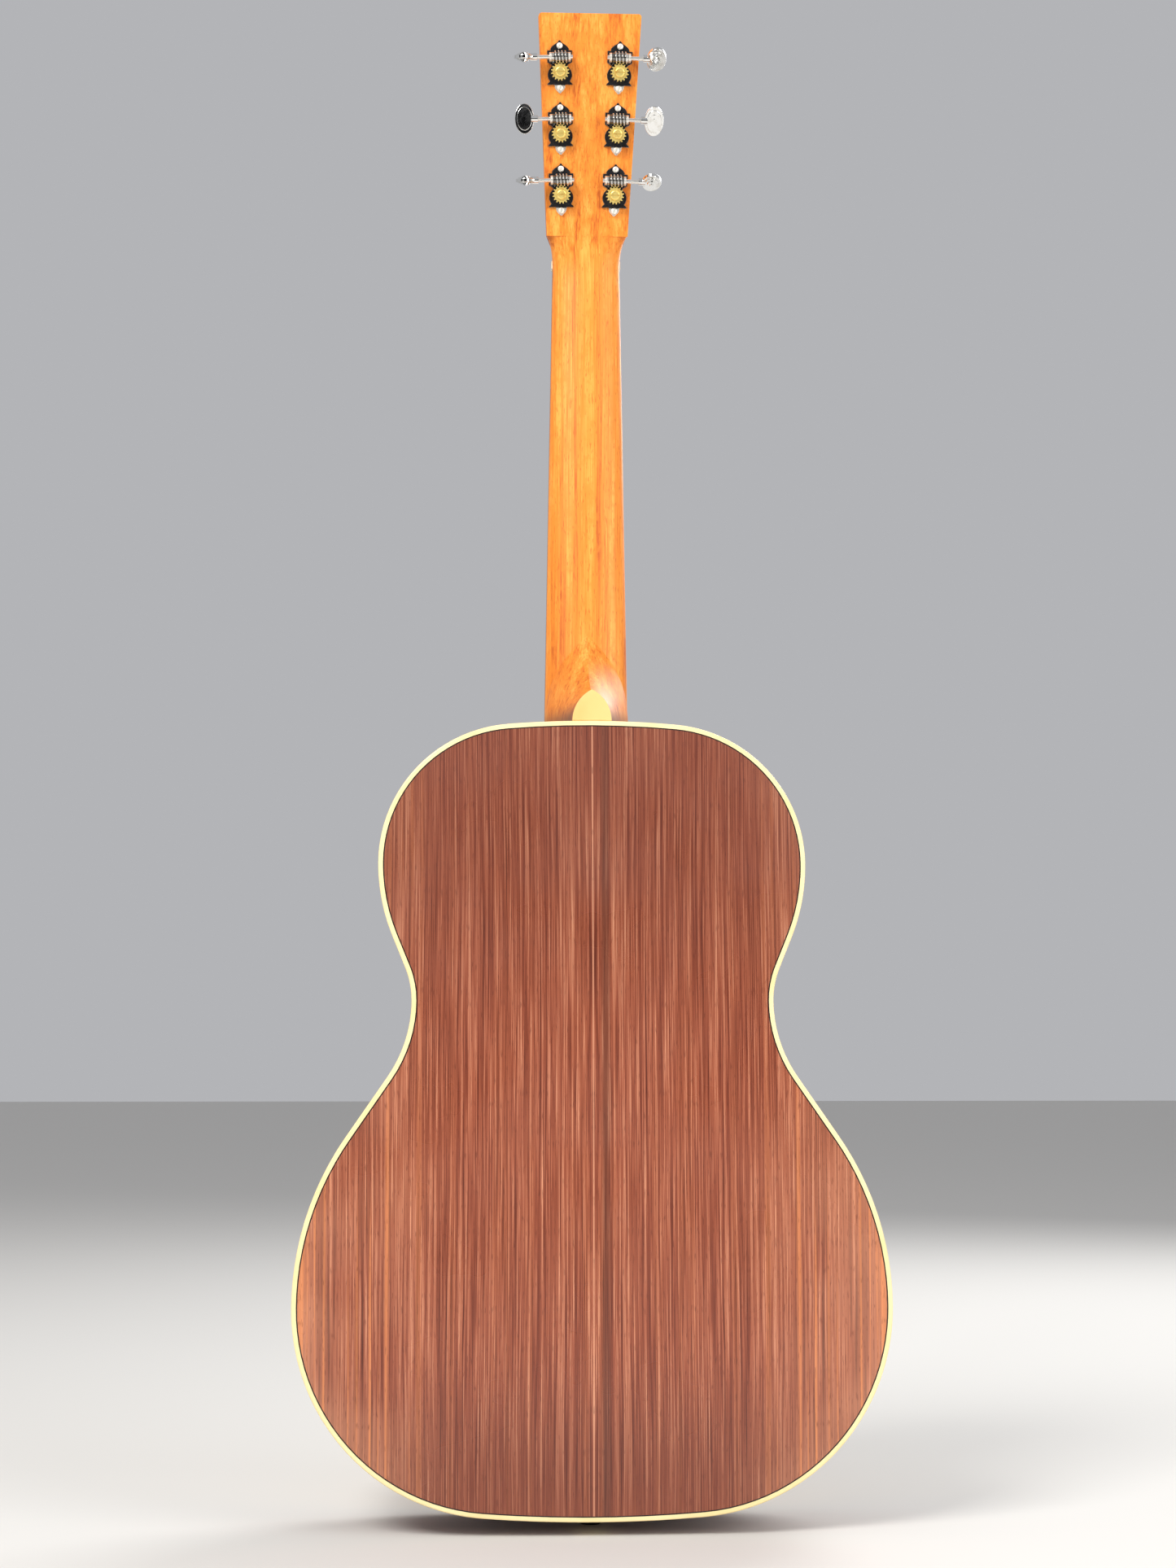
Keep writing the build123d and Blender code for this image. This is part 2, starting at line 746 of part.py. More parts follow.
with BuildPart() as head_blank:
    with BuildSketch(head_plane):
        with BuildLine():
            foot = Line((-head_corner_width / 2, head_corner), (head_corner_width / 2, head_corner))
            right = Line(foot @ 1, (head_top_width / 2, head_length))
            crest = Line(right @ 1, (-head_top_width / 2, head_length))
            Line(crest @ 1, foot @ 0)
        make_face()
        fillet(vertices().group_by(Axis.Y)[-1], head_top_round)
    extrude(amount=-head_thickness)

# ---------------------------------------------------------------- where each tuner sits
tuner_stations = {
    "low": tuner_first,
    "middle": tuner_first + tuner_pitch,
    "high": tuner_first + 2 * tuner_pitch,
}
spread_per_length = (tuner_high_spread - tuner_low_spread) / (4 * tuner_pitch)
column_lean = atan2(spread_per_length, 1)


def tuner_seat(side, station):
    """A tuner's own frame on the headstock's back: x across, y up the headstock, z out of the back."""
    out = -1 if side == "bass" else 1
    along = tuner_stations[station]
    across = tuner_low_spread / 2 + spread_per_length * (along - tuner_first)
    y, z = head_point(along, head_thickness)
    lean = out * column_lean
    x_dir = (-cos(lean), sin(lean) * sin(tilt), sin(lean) * cos(tilt))
    return Plane((out * across, y, z), x_dir=x_dir, z_dir=(0, cos(tilt), -sin(tilt)))


tuners = {}
for side in ("bass", "treble"):
    for station in tuner_stations:
        tuners[f"{side}_{station}"] = tuner_seat(side, station)
tuner_seats = [seat.location for seat in tuners.values()]
string_order = ("bass_low", "bass_middle", "bass_high", "treble_high", "treble_middle", "treble_low")
plate_screw_spots = ((0, plate_screw_up, 0), (0, plate_screw_down, 0))
post_clearance_r = 4.0

with BuildPart() as neck:
    add(neck_shaft.part)
    add(heel.part)
    add(neck_bend.part)
    add(head_blank.part)
    upright_box((-tenon_width / 2, tenon_top, body_length - tenon_length - side_thickness),
                (tenon_width / 2, heel_depth - 2 * binding_height, body_length + heel_root))
    upright_box((-rod_width / 2 - rod_slack, 0, body_length + rod_reach),
                (rod_width / 2 + rod_slack, rod_depth + rod_slack, nut_z - rod_stop + rod_slack),
                mode=Mode.SUBTRACT)
    rod_end_run = tenon_length + side_thickness + rod_reach + 1
    with Locations((0, depth_y(rod_centre_depth), body_length + rod_reach + 1 - rod_end_run / 2)):
        Cylinder(rod_end_r + rod_slack, rod_end_run, mode=Mode.SUBTRACT)
    for seat in tuner_seats:
        with Locations(seat):
            Cylinder(post_clearance_r, 2 * head_thickness, mode=Mode.SUBTRACT)
            with Locations((0, 0, -head_thickness)):
                Cylinder(bushing_r, 2 * (bushing_length - bushing_flange - head_veneer),
                         mode=Mode.SUBTRACT)
            with Locations(*plate_screw_spots):
                Cylinder(plate_screw_r, 2 * plate_screw_length, mode=Mode.SUBTRACT)
save(neck.part, "neck")

with BuildPart() as heel_cap:
    with BuildSketch(at_depth(heel_depth)):
        arch(heel_cap_width, heel_cap_rise)
    extrude(amount=heel_cap_thickness)
    add(body_envelope.part, mode=Mode.SUBTRACT)
    cap_face = heel_cap.faces().sort_by(Axis.Y)[-1]
    chamfer(cap_face.outer_wire().edges().group_by(SortBy.LENGTH)[-1], heel_cap_bevel)
save(heel_cap.part, "heel_cap")

with BuildPart() as headstock_veneer:
    with BuildSketch(head_plane):
        with BuildLine():
            foot = Line((-nut_width / 2, 0), (nut_width / 2, 0))
            right_low = Line(foot @ 1, (nut_width / 2, head_corner / 3))
            right_corner = Line(right_low @ 1, (head_corner_width / 2, head_corner))
            right = Line(right_corner @ 1, (head_top_width / 2, head_length))
            crest = Line(right @ 1, (-head_top_width / 2, head_length))
            left = Line(crest @ 1, (-head_corner_width / 2, head_corner))
            left_corner = Line(left @ 1, (-nut_width / 2, head_corner / 3))
            Line(left_corner @ 1, foot @ 0)
        make_face()
        fillet(vertices().group_by(Axis.Y)[-1], head_top_round)
        with Locations(*[(head_plane.to_local_coords(seat.position).X,
                          head_plane.to_local_coords(seat.position).Y) for seat in tuner_seats]):
            Circle(bushing_r, mode=Mode.SUBTRACT)
    extrude(amount=head_veneer)
    # the veneer's foot is cut upright, against the nut
    upright_box((-nut_width, -2 * head_veneer, nut_z - nut_thickness), (nut_width, head_veneer, head_z),
                mode=Mode.SUBTRACT)
save(headstock_veneer.part, "headstock_veneer")

# ---------------------------------------------------------------- fingerboard, frets, dots and nut
fret_places = [nut_z - scale_length * (1 - 2 ** (-number / 12)) for number in range(1, fret_count + 1)]
board_axis = Axis((0, board_y + board_radius, 0), (0, 0, 1))


def on_board_radius(radius, mode=Mode.INTERSECT):
    """Cuts the part being made to the fingerboard's long round, or to one beside it."""
    with Locations((0, board_axis.position.Y, (nut_z + board_end_z) / 2)):
        Cylinder(radius, 2 * board_length, mode=mode)


board_crown = board_radius - sqrt(board_radius ** 2 - (board_end_width / 2) ** 2)
with BuildPart() as fret_slots:
    with Locations(*[(0, board_y, z) for z in fret_places]):
        Box(2 * nut_width, 2 * (fret_tang_depth + board_crown), fret_tang)

dot_frets = (5, 7, 9, 12, 15, 17)
dot_places = []
for number in dot_frets:
    above, below = fret_places[number - 2], fret_places[number - 1]
    spots = (-board_body_width / 4, board_body_width / 4) if number == 12 else (0,)
    dot_places += [(x, (above + below) / 2) for x in spots]

with BuildPart() as fingerboard:
    with BuildSketch(at_depth(0)):
        with BuildLine():
            foot = Line((-board_end_width / 2, board_end_z), (board_end_width / 2, board_end_z))
            right = Line(foot @ 1, (nut_width / 2, nut_z))
            crest = Line(right @ 1, (-nut_width / 2, nut_z))
            Line(crest @ 1, foot @ 0)
        make_face()
    extrude(amount=board_thickness)
    on_board_radius(board_radius)
    add(fret_slots.part, mode=Mode.SUBTRACT)
    with BuildSketch(at_depth(-board_thickness)):
        with Locations(*dot_places):
            Circle(dot_r)
    extrude(amount=-dot_depth, mode=Mode.SUBTRACT)
save(fingerboard.part, "fingerboard")

with BuildPart() as position_dots:
    with BuildSketch(at_depth(-board_thickness)):
        with Locations(*dot_places):
            Circle(dot_r)
    extrude(amount=-dot_depth)
    on_board_radius(board_radius)
save(position_dots.part, "position_dots")

with BuildPart() as frets:
    for z in fret_places:
        half_turn = degrees(asin((neck_width(z) / 2 - fret_end_inset) / board_radius))
        start = radians(half_turn)
        reach = (sin(start), -cos(start))
        wire_plane = Plane((0, board_axis.position.Y, z), x_dir=(reach[0], reach[1], 0),
                           z_dir=(-reach[1], reach[0], 0))
        with BuildSketch(wire_plane):
            with BuildLine():
                crown = EllipticalCenterArc((board_radius, 0), fret_height, fret_width / 2,
                                            -90, arc_size=180)
                Line(crown @ 1, crown @ 0)
            make_face()
            with Locations((board_radius - fret_tang_depth / 2 + 10 * fret_fit, 0)):
                Rectangle(fret_tang_depth - 20 * fret_fit, fret_tang - 2 * fret_fit)
        revolve(axis=board_axis, revolution_arc=-2 * half_turn)
save(frets.part, "frets")


# ---------------------------------------------------------------- truss rod
rod_inner_z = body_length - neck_block_length - rod_overlap
with BuildPart() as truss_rod:
    upright_box((-rod_width / 2, rod_slack, body_length + rod_reach + rod_slack),
                (rod_width / 2, rod_depth, nut_z - rod_stop))
    rod_end_length = body_length + rod_reach + 1 - rod_inner_z
    with Locations((0, depth_y(rod_centre_depth), rod_inner_z + rod_end_length / 2)):
        Cylinder(rod_end_r, rod_end_length)
save(truss_rod.part, "truss_rod")

rod_nut_z = body_length - neck_block_length - rod_nut_gap - rod_nut_length
with BuildPart() as truss_rod_nut:
    with BuildSketch(Plane((0, depth_y(rod_centre_depth), rod_nut_z))):
        Circle(rod_nut_r)
    extrude(amount=rod_nut_length)
    fillet(truss_rod_nut.edges().filter_by(GeomType.CIRCLE), rod_nut_round)
    with BuildSketch(Plane((0, depth_y(rod_centre_depth), rod_nut_z + rod_nut_length))):
        Circle(rod_end_r + shaft_fit)
    extrude(amount=-(rod_nut_z + rod_nut_length - rod_inner_z + rod_slack), mode=Mode.SUBTRACT)
    with BuildSketch(Plane((0, depth_y(rod_centre_depth), rod_nut_z))):
        RegularPolygon(rod_key_r, 6)
    extrude(amount=rod_key_depth, mode=Mode.SUBTRACT)
save(truss_rod_nut.part, "truss_rod_nut")

# ---------------------------------------------------------------- bridge, saddle and pins
bridge_front_z = saddle_z + bridge_ahead_of_saddle
bridge_rear_z = bridge_front_z - bridge_width
with BuildPart() as bridge:
    with BuildSketch(at_depth(0)):
        with BuildLine():
            front = Line((bridge_length / 2, bridge_front_z), (-bridge_length / 2, bridge_front_z))
            left = Line(front @ 1, (-bridge_length / 2, bridge_rear_z))
            left_rear = Line(left @ 1, (-bridge_core_length / 2, bridge_rear_z))
            belly = ThreePointArc(left_rear @ 1, (0, bridge_rear_z - bridge_belly),
                                  (bridge_core_length / 2, bridge_rear_z))
            right_rear = Line(belly @ 1, (bridge_length / 2, bridge_rear_z))
            Line(right_rear @ 1, front @ 0)
        make_face()
        fillet(vertices().group_by(Axis.X)[0] + vertices().group_by(Axis.X)[-1], bridge_corner_round)
    extrude(amount=bridge_height)
    with BuildSketch(Plane.XY.offset(bridge_rear_z - bridge_belly - 1)):
        with BuildLine():
            scoop_top = (bridge_core_length / 2, depth_y(-bridge_height))
            scoop_foot = (bridge_core_length / 2 + bridge_scoop_length, depth_y(-bridge_wing_height))
            scoop_pull = 0.3 * bridge_scoop_length
            scoop = Bezier(scoop_top, (scoop_top[0] + scoop_pull, scoop_top[1] + scoop_pull),
                           (scoop_foot[0] - 1.5 * scoop_pull, scoop_foot[1]), scoop_foot)
            wing = Line(scoop @ 1, (bridge_length / 2 + 1, depth_y(-bridge_wing_height)))
            outer = Line(wing @ 1, (bridge_length / 2 + 1, depth_y(-bridge_height) - 1))
            over = Line(outer @ 1, (bridge_core_length / 2, depth_y(-bridge_height) - 1))
            Line(over @ 1, scoop @ 0)
        make_face()
        mirror(about=Plane.YZ)
    extrude(amount=bridge_width + bridge_belly + 2, mode=Mode.SUBTRACT)
    fillet(bridge.faces().sort_by(Axis.Y)[0].edges(), bridge_edge_round)
    upright_box((-saddle_length / 2, -bridge_height - 1, saddle_z - saddle_width / 2),
                (saddle_length / 2, saddle_slot_depth - bridge_height, saddle_z + saddle_width / 2),
                mode=Mode.SUBTRACT)
    with BuildSketch(at_depth(0)):
        with Locations(*pin_places):
            Circle(pin_hole_r)
    extrude(amount=bridge_height + 1, mode=Mode.SUBTRACT)
save(bridge.part, "bridge")

with BuildPart() as saddle:
    upright_box((-saddle_length / 2, -bridge_height - saddle_rise, saddle_z - saddle_width / 2),
                (saddle_length / 2, saddle_slot_depth - bridge_height, saddle_z + saddle_width / 2))
    fillet(saddle.faces().sort_by(Axis.Y)[0].edges(), bridge_edge_round)
save(saddle.part, "saddle")

pin_shank_r_in_bridge = pin_hole_r - pin_fit
pin_reach = top_thickness + bridge_plate_thickness
with BuildPart() as bridge_pins:
    with BuildSketch(at_depth(pin_reach)):
        with Locations(*pin_places):
            Circle(pin_shank_r_in_bridge)
    extrude(amount=pin_reach + bridge_height)
    with BuildSketch(at_depth(-bridge_height)):
        with Locations(*pin_places):
            Circle(pin_head_r)
    extrude(amount=pin_head_height)
    heads = bridge_pins.faces().filter_by(Axis.Y).group_by(Axis.Y)[0]
    fillet(heads.edges(), pin_head_round)
    with BuildSketch(at_depth(pin_reach)):
        with Locations(*[(x, z + pin_slot_start + pin_head_r / 2) for x, z in pin_places]):
            Rectangle(pin_slot_width, pin_head_r)
    extrude(amount=pin_reach + bridge_height + pin_head_height, mode=Mode.SUBTRACT)
save(bridge_pins.part, "bridge_pins")

# ---------------------------------------------------------------- strings
def string_route(number):
    """A string's straight runs, from its ball to the post, and the ring plane and angles round the post."""
    radius = string_diameters[number] / 2
    seat = tuners[string_order[number]]
    inner = -1 if string_order[number].startswith("bass") else 1
    at_bridge = string_x(number, bridge_string_spread)
    underside = depth_y(top_thickness + bridge_plate_thickness)
    ball = Vector(at_bridge, underside + ball_r, pin_z + string_exit_offset)
    over_bridge = Vector(at_bridge, depth_y(-bridge_height) - radius - string_lift_at_pin,
                         pin_z + string_exit_offset)
    over_saddle = Vector(at_bridge, saddle_top_y - radius - string_seat_gap, saddle_z)
    over_nut = Vector(string_x(number, nut_string_spread), string_y_at_nut - radius,
                      nut_z + nut_bend_inset)
    string_rise = string_rises[string_order[number].split("_")[1]]
    ring_plane = seat.offset(-(head_thickness + head_veneer + string_rise))
    ring_radius = post_r + string_fit + radius
    local_nut = ring_plane.to_local_coords(over_nut)
    bearing = atan2(local_nut.Y, local_nut.X)
    spread = acos(ring_radius / hypot(local_nut.X, local_nut.Y))
    touches = [bearing + spread, bearing - spread]
    touch = max(touches, key=lambda angle: inner * cos(angle))
    turn = string_wrap if touch == touches[0] else -string_wrap
    touch_point = (ring_radius * cos(touch), ring_radius * sin(touch))
    run = hypot(local_nut.X - touch_point[0], local_nut.Y - touch_point[1])
    share = string_landing / run
    landing = (touch_point[0] + (local_nut.X - touch_point[0]) * share,
               touch_point[1] + (local_nut.Y - touch_point[1]) * share)
    corners = [ball, over_bridge, over_saddle, over_nut,
               ring_plane.from_local_coords(Vector(*landing, 0)),
               ring_plane.from_local_coords(Vector(*touch_point, 0))]
    return corners, ring_plane, ring_radius, degrees(touch), turn


def string_tube(number):
    """One string, from its ball end under the bridge to its turn round the post."""
    corners, ring_plane, ring_radius, touch, turn = string_route(number)
    radius = string_diameters[number] / 2
    with BuildLine(ring_plane) as ring:
        CenterArc((0, 0), ring_radius, touch, turn)
    pin_bend, saddle_bend, nut_bend, post_bend = string_bends
    with BuildLine() as route:
        FilletPolyline(*corners, radius=(pin_bend + radius, saddle_bend + radius, nut_bend, post_bend))
        add(ring.line)
    with BuildPart() as tube:
        with BuildSketch(Plane(route.wire() @ 0, z_dir=route.wire() % 0)):
            Circle(radius)
        sweep(path=route.wire())
        with Locations(corners[0]):
            Sphere(ball_r)
    return tube.part


with BuildPart() as wound_strings:
    for number in range(4):
        add(string_tube(number))
save(wound_strings.part, "wound_strings")

with BuildPart() as plain_strings:
    for number in (4, 5):
        add(string_tube(number))
save(plain_strings.part, "plain_strings")

# ---------------------------------------------------------------- nut, with a slot for each string
nut_top_depth = -(board_thickness + fret_height + nut_rise)
with BuildPart() as nut:
    upright_box((-nut_width / 2 - nut_overhang, nut_top_depth, nut_z),
                (nut_width / 2 + nut_overhang, 0, head_z))
    fillet(nut.edges().filter_by(Axis.X).sort_by(Axis.Y)[:2], nut_top_round)
    fillet(nut.edges().filter_by(Axis.Z).sort_by(Axis.Y)[:2], nut_end_round)
    for number, diameter in enumerate(string_diameters):
        corners = string_route(number)[0]
        for start, end in ((corners[3], corners[2]), (corners[3], corners[4])):
            along = end - start
            across = Vector(0, -1, 0).cross(along)
            slot_plane = Plane(start, x_dir=along, z_dir=along.cross(across))
            with Locations(slot_plane.offset(-diameter / 2 - nut_slot_gap).location):
                Box(3 * nut_thickness, diameter + 3 * nut_slot_gap, 2 * nut_thickness,
                    mode=Mode.SUBTRACT, align=(Align.MIN, Align.CENTER, Align.MIN))
save(nut.part, "nut")

# ---------------------------------------------------------------- a tuner's pieces, made in its own frame
gear_lift = plate_thickness + worm_lift
gear_low = gear_lift - gear_thickness / 2
worm_reach = gear_pitch_r + worm_pitch_r
worm_lead = 2 * pi * gear_pitch_r / gear_teeth
worm_core_r = worm_pitch_r - worm_dedendum
post_face = -(head_thickness + head_veneer)

with BuildPart() as plate_pattern:
    with BuildSketch():
        with BuildLine():
            tip = Line((0, plate_top), (plate_tip_half, plate_top))
            ogee = Bezier(tip @ 1, (0.16 * plate_crown_half, plate_top - 2.2),
                          (0.77 * plate_crown_half, plate_top - 2.4),
                          (plate_crown_half, plate_shoulder + 1))
            crown = Line(ogee @ 1, (plate_crown_half, plate_shoulder))
            shoulder = Line(crown @ 1, (plate_half, plate_shoulder))
            flank = Line(shoulder @ 1, (plate_half, plate_bracket_low + 1))
            tuck = Bezier(flank @ 1, (plate_half, plate_bracket_low), (plate_waist_half, plate_bracket_low),
                          (plate_waist_half, plate_waist))
            lobe = ThreePointArc(tuck @ 1, (plate_lobe_half, plate_lobe),
                                 (plate_waist_half + 1.6, plate_ear + 2.4))
            ear = Bezier(lobe @ 1, (plate_waist_half + 2.0, plate_ear + 1.6),
                         (plate_lobe_half, plate_ear + 1.2), (plate_ear_half, plate_ear))
            neck_in = Bezier(ear @ 1, (0.7 * plate_ear_half, plate_ear - 0.4),
                             (0.5 * plate_ear_half, plate_ear + 0.6),
                             (0.4 * plate_ear_half, plate_ear - 0.4))
            tulip = Bezier(neck_in @ 1, (0.46 * plate_ear_half, plate_tip + 2.6),
                           (0.2 * plate_ear_half, plate_tip + 1.6), (plate_tip_half, plate_tip))
            foot = Line(tulip @ 1, (0, plate_tip))
            Line(foot @ 1, tip @ 0)
        make_face()
        mirror(about=Plane.YZ)
        Circle(post_r + post_fit, mode=Mode.SUBTRACT)
        with Locations(*plate_screw_spots):
            Circle(plate_screw_r, mode=Mode.SUBTRACT)
    extrude(amount=plate_thickness)
    chamfer(plate_pattern.faces().sort_by(Axis.Z)[-1].outer_wire().edges(), plate_edge_bevel)
    for across in (-tab_place, tab_place):
        with BuildSketch(Plane.YZ.offset(across - tab_thickness / 2)):
            with Locations((worm_reach, gear_lift)):
                Circle(tab_r)
            with Locations((worm_reach, gear_lift / 2)):
                Rectangle(2 * tab_r, gear_lift)
            with Locations((worm_reach, gear_lift)):
                Circle(shaft_r + shaft_fit, mode=Mode.SUBTRACT)
        extrude(amount=tab_thickness)

with BuildPart() as gear_pattern:
    with BuildSketch(Plane.XY.offset(gear_low)):
        root_r = gear_pitch_r - gear_dedendum
        tip_r = gear_pitch_r + gear_addendum
        Circle(root_r)
        with PolarLocations(0, gear_teeth, start_angle=90 + 180 / gear_teeth):
            Polygon((root_r - thread_sink, -gear_root_width / 2), (tip_r, -gear_tip_width / 2),
                    (tip_r, gear_tip_width / 2), (root_r - thread_sink, gear_root_width / 2), align=None)
    extrude(amount=gear_thickness)
    with BuildSketch(Plane.XY.offset(plate_thickness + gear_gap)):
        Circle(gear_hub_r)
    extrude(amount=gear_low - plate_thickness - gear_gap)
    with Locations((0, 0, gear_lift)):
        Cylinder(post_hub_r, 4 * gear_lift, mode=Mode.SUBTRACT)

with BuildPart() as gear_screw_pattern:
    gear_top = gear_lift + gear_thickness / 2
    with BuildSketch(Plane.XY.offset(gear_top)):
        Circle(gear_screw_head_r)
    extrude(amount=gear_screw_head)
    fillet(gear_screw_pattern.faces().sort_by(Axis.Z)[-1].edges(), gear_screw_round)
    with Locations((0, 0, gear_top + gear_screw_head)):
        Box(2 * gear_screw_head_r, slot_width, 2 * slot_depth, mode=Mode.SUBTRACT)
    with BuildSketch(Plane.XY.offset(gear_top)):
        Circle(gear_screw_r)
    extrude(amount=-gear_thickness)

with BuildPart() as post_pattern:
    with BuildSketch(Plane.XY.offset(post_face - post_rise)):
        Circle(post_r)
    extrude(amount=post_rise - post_face + plate_thickness)
    fillet(post_pattern.faces().sort_by(Axis.Z)[0].edges(), post_round)
    with BuildSketch(Plane.XY.offset(plate_thickness)):
        Circle(post_hub_r)
    extrude(amount=gear_top - plate_thickness)
    with Locations((0, 0, gear_top)):
        Cylinder(gear_screw_r, 2 * gear_thickness, mode=Mode.SUBTRACT)
    with Locations((0, 0, post_face - post_hole_rise)):
        Cylinder(post_hole_r, 4 * post_r, rotation=(90, 0, 0), mode=Mode.SUBTRACT)

# the worm lies along X with its middle at the origin, and its thread meets the gear on the -Y side
with BuildPart() as thread_pattern:
    worm_length = worm_turns * worm_lead
    winding = Helix(worm_lead, worm_length, worm_pitch_r, center=(0, 0, -worm_length / 2))
    with BuildSketch(Plane(winding @ 0, x_dir=(1, 0, 0), z_dir=winding % 0)):
        inside = -worm_dedendum - thread_sink
        Polygon((inside, -thread_root_width / 2), (worm_addendum, -thread_tip_width / 2),
                (worm_addendum, thread_tip_width / 2), (inside, thread_root_width / 2), align=None)
    sweep(path=winding, is_frenet=True)
    Cylinder(worm_core_r, worm_length + 2 * worm_shoulder)

with BuildPart() as worm_pattern:
    add(thread_pattern.part.rotate(Axis.Z, -90).rotate(Axis.Y, 90))
    shaft_length = shaft_inner_end + button_start + button_grip
    with Locations((button_start + button_grip - shaft_length / 2, 0, 0)):
        Cylinder(shaft_r, shaft_length, rotation=(0, 90, 0))

with BuildPart() as button_pattern:
    button_width = button_length - button_collar_length
    middle = button_start + button_collar_length + button_width / 2
    for share, thickness in button_steps:
        with BuildSketch(Plane.XY.offset(-thickness / 2)):
            with Locations((middle, 0)):
                Ellipse(share * button_width / 2, share * button_height / 2)
        extrude(amount=thickness)
    steps = button_pattern.faces().filter_by(Axis.Z)
    fillet(steps.sort_by(SortBy.AREA)[-2:].edges(), button_step_round)
    with BuildSketch(Plane.YZ.offset(button_start)):
        Circle(button_collar_r)
    extrude(amount=button_collar_length + button_collar_sink)
    with BuildSketch(Plane.YZ.offset(button_start)):
        Circle(shaft_r)
    extrude(amount=button_grip, mode=Mode.SUBTRACT)

with BuildPart() as screw_pattern:
    with BuildSketch(Plane.XY.offset(plate_thickness)):
        Circle(plate_screw_head_r)
    extrude(amount=plate_screw_head)
    fillet(screw_pattern.faces().sort_by(Axis.Z)[-1].edges(), plate_screw_round)
    with Locations((0, 0, plate_thickness + plate_screw_head)):
        Box(2 * plate_screw_head_r, slot_width, 2 * slot_depth, mode=Mode.SUBTRACT)
    with BuildSketch(Plane.XY.offset(plate_thickness)):
        Circle(plate_screw_r)
    extrude(amount=-plate_screw_length)

with BuildPart() as bushing_pattern:
    with BuildSketch(Plane.XY.offset(post_face - bushing_flange)):
        Circle(bushing_flange_r)
    extrude(amount=bushing_flange)
    fillet(bushing_pattern.faces().sort_by(Axis.Z)[0].edges(), bushing_round)
    with BuildSketch(Plane.XY.offset(post_face)):
        Circle(bushing_r)
    extrude(amount=bushing_length - bushing_flange)
    with Locations((0, 0, post_face)):
        Cylinder(post_r + bushing_fit, 4 * bushing_length, mode=Mode.SUBTRACT)

# ---------------------------------------------------------------- the tuners in their seats
with BuildPart() as tuner_plates:
    for seat in tuner_seats:
        add(plate_pattern.part.moved(seat))
save(tuner_plates.part, "tuner_plates")

with BuildPart() as plate_screws:
    for seat in tuner_seats:
        for spot in plate_screw_spots:
            add(screw_pattern.part.moved(seat * Location(spot, (0, 0, 70))))
save(plate_screws.part, "plate_screws")

with BuildPart() as tuner_bushings:
    for seat in tuner_seats:
        add(bushing_pattern.part.moved(seat))
save(tuner_bushings.part, "tuner_bushings")

for name, frame in tuners.items():
    seat = frame.location
    outward = 0 if name.startswith("bass") else 180
    shaft_seat = seat * Location((0, worm_reach, gear_lift), (0, outward, 0))
    with BuildPart() as worm_shaft:
        add(worm_pattern.part.moved(shaft_seat))
    save(worm_shaft.part, f"worm_shaft_{name}")
    with BuildPart() as tuner_button:
        turned = Location((0, 0, 0), (button_turns[name], 0, 0))
        add(button_pattern.part.moved(shaft_seat * turned))
    save(tuner_button.part, f"tuner_button_{name}")
    gear_and_screw = Compound([gear_pattern.part.moved(seat), gear_screw_pattern.part.moved(seat)])
    save(gear_and_screw, f"worm_gear_{name}")
    with BuildPart() as string_post:
        add(post_pattern.part.moved(seat))
    save(string_post.part, f"string_post_{name}")
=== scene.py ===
"""The acoustic guitar's finishes and small pieces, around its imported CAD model.

Frame: metres, +Z up along the neck, -Y towards the strings, +Y towards the back, +X the treble side.
"""
import json
from math import pi, radians, tau

import bpy
from mathutils import Matrix, Vector


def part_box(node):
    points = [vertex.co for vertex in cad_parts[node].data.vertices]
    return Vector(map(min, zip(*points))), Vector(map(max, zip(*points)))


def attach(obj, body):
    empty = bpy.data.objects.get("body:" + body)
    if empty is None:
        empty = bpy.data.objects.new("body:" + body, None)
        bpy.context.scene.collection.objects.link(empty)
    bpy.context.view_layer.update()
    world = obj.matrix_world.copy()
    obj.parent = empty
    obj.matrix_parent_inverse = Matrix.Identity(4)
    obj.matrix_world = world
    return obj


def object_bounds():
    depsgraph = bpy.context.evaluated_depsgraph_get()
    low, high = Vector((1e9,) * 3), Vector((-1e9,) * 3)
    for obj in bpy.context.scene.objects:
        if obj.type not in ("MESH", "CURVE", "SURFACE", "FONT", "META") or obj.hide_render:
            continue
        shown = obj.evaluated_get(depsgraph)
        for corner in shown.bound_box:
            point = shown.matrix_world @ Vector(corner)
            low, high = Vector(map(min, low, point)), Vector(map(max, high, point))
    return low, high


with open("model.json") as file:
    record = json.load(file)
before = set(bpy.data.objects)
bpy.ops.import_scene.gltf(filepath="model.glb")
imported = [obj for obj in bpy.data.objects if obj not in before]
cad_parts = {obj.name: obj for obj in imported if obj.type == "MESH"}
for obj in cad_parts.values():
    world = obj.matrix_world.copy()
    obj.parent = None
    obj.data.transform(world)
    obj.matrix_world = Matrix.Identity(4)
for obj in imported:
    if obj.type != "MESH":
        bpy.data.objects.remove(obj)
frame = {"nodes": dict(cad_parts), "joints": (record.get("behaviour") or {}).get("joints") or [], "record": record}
cad_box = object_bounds()
nodes = frame["nodes"]
record = frame["record"]

MM = 0.001
SOUNDBOARD_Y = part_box("soundboard")[0][1]
BODY_TOP_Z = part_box("side_bass")[1][2]
HOLE_CENTRE = [(low + high) / 2 for low, high in zip(*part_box("rosette"))]
LOWER_BOUT_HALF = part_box("top_binding")[1][0]
NUT_FACE_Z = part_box("nut")[0][2]
ROSETTE_INNER_R = 54.0 * MM
ROSETTE_OUTER_R = 62.0 * MM
SEAM_HALF = 0.2 * MM
DARK_BAND_FROM_SEAM = 8.0 * MM
WINDING_PITCH = 0.28 * MM

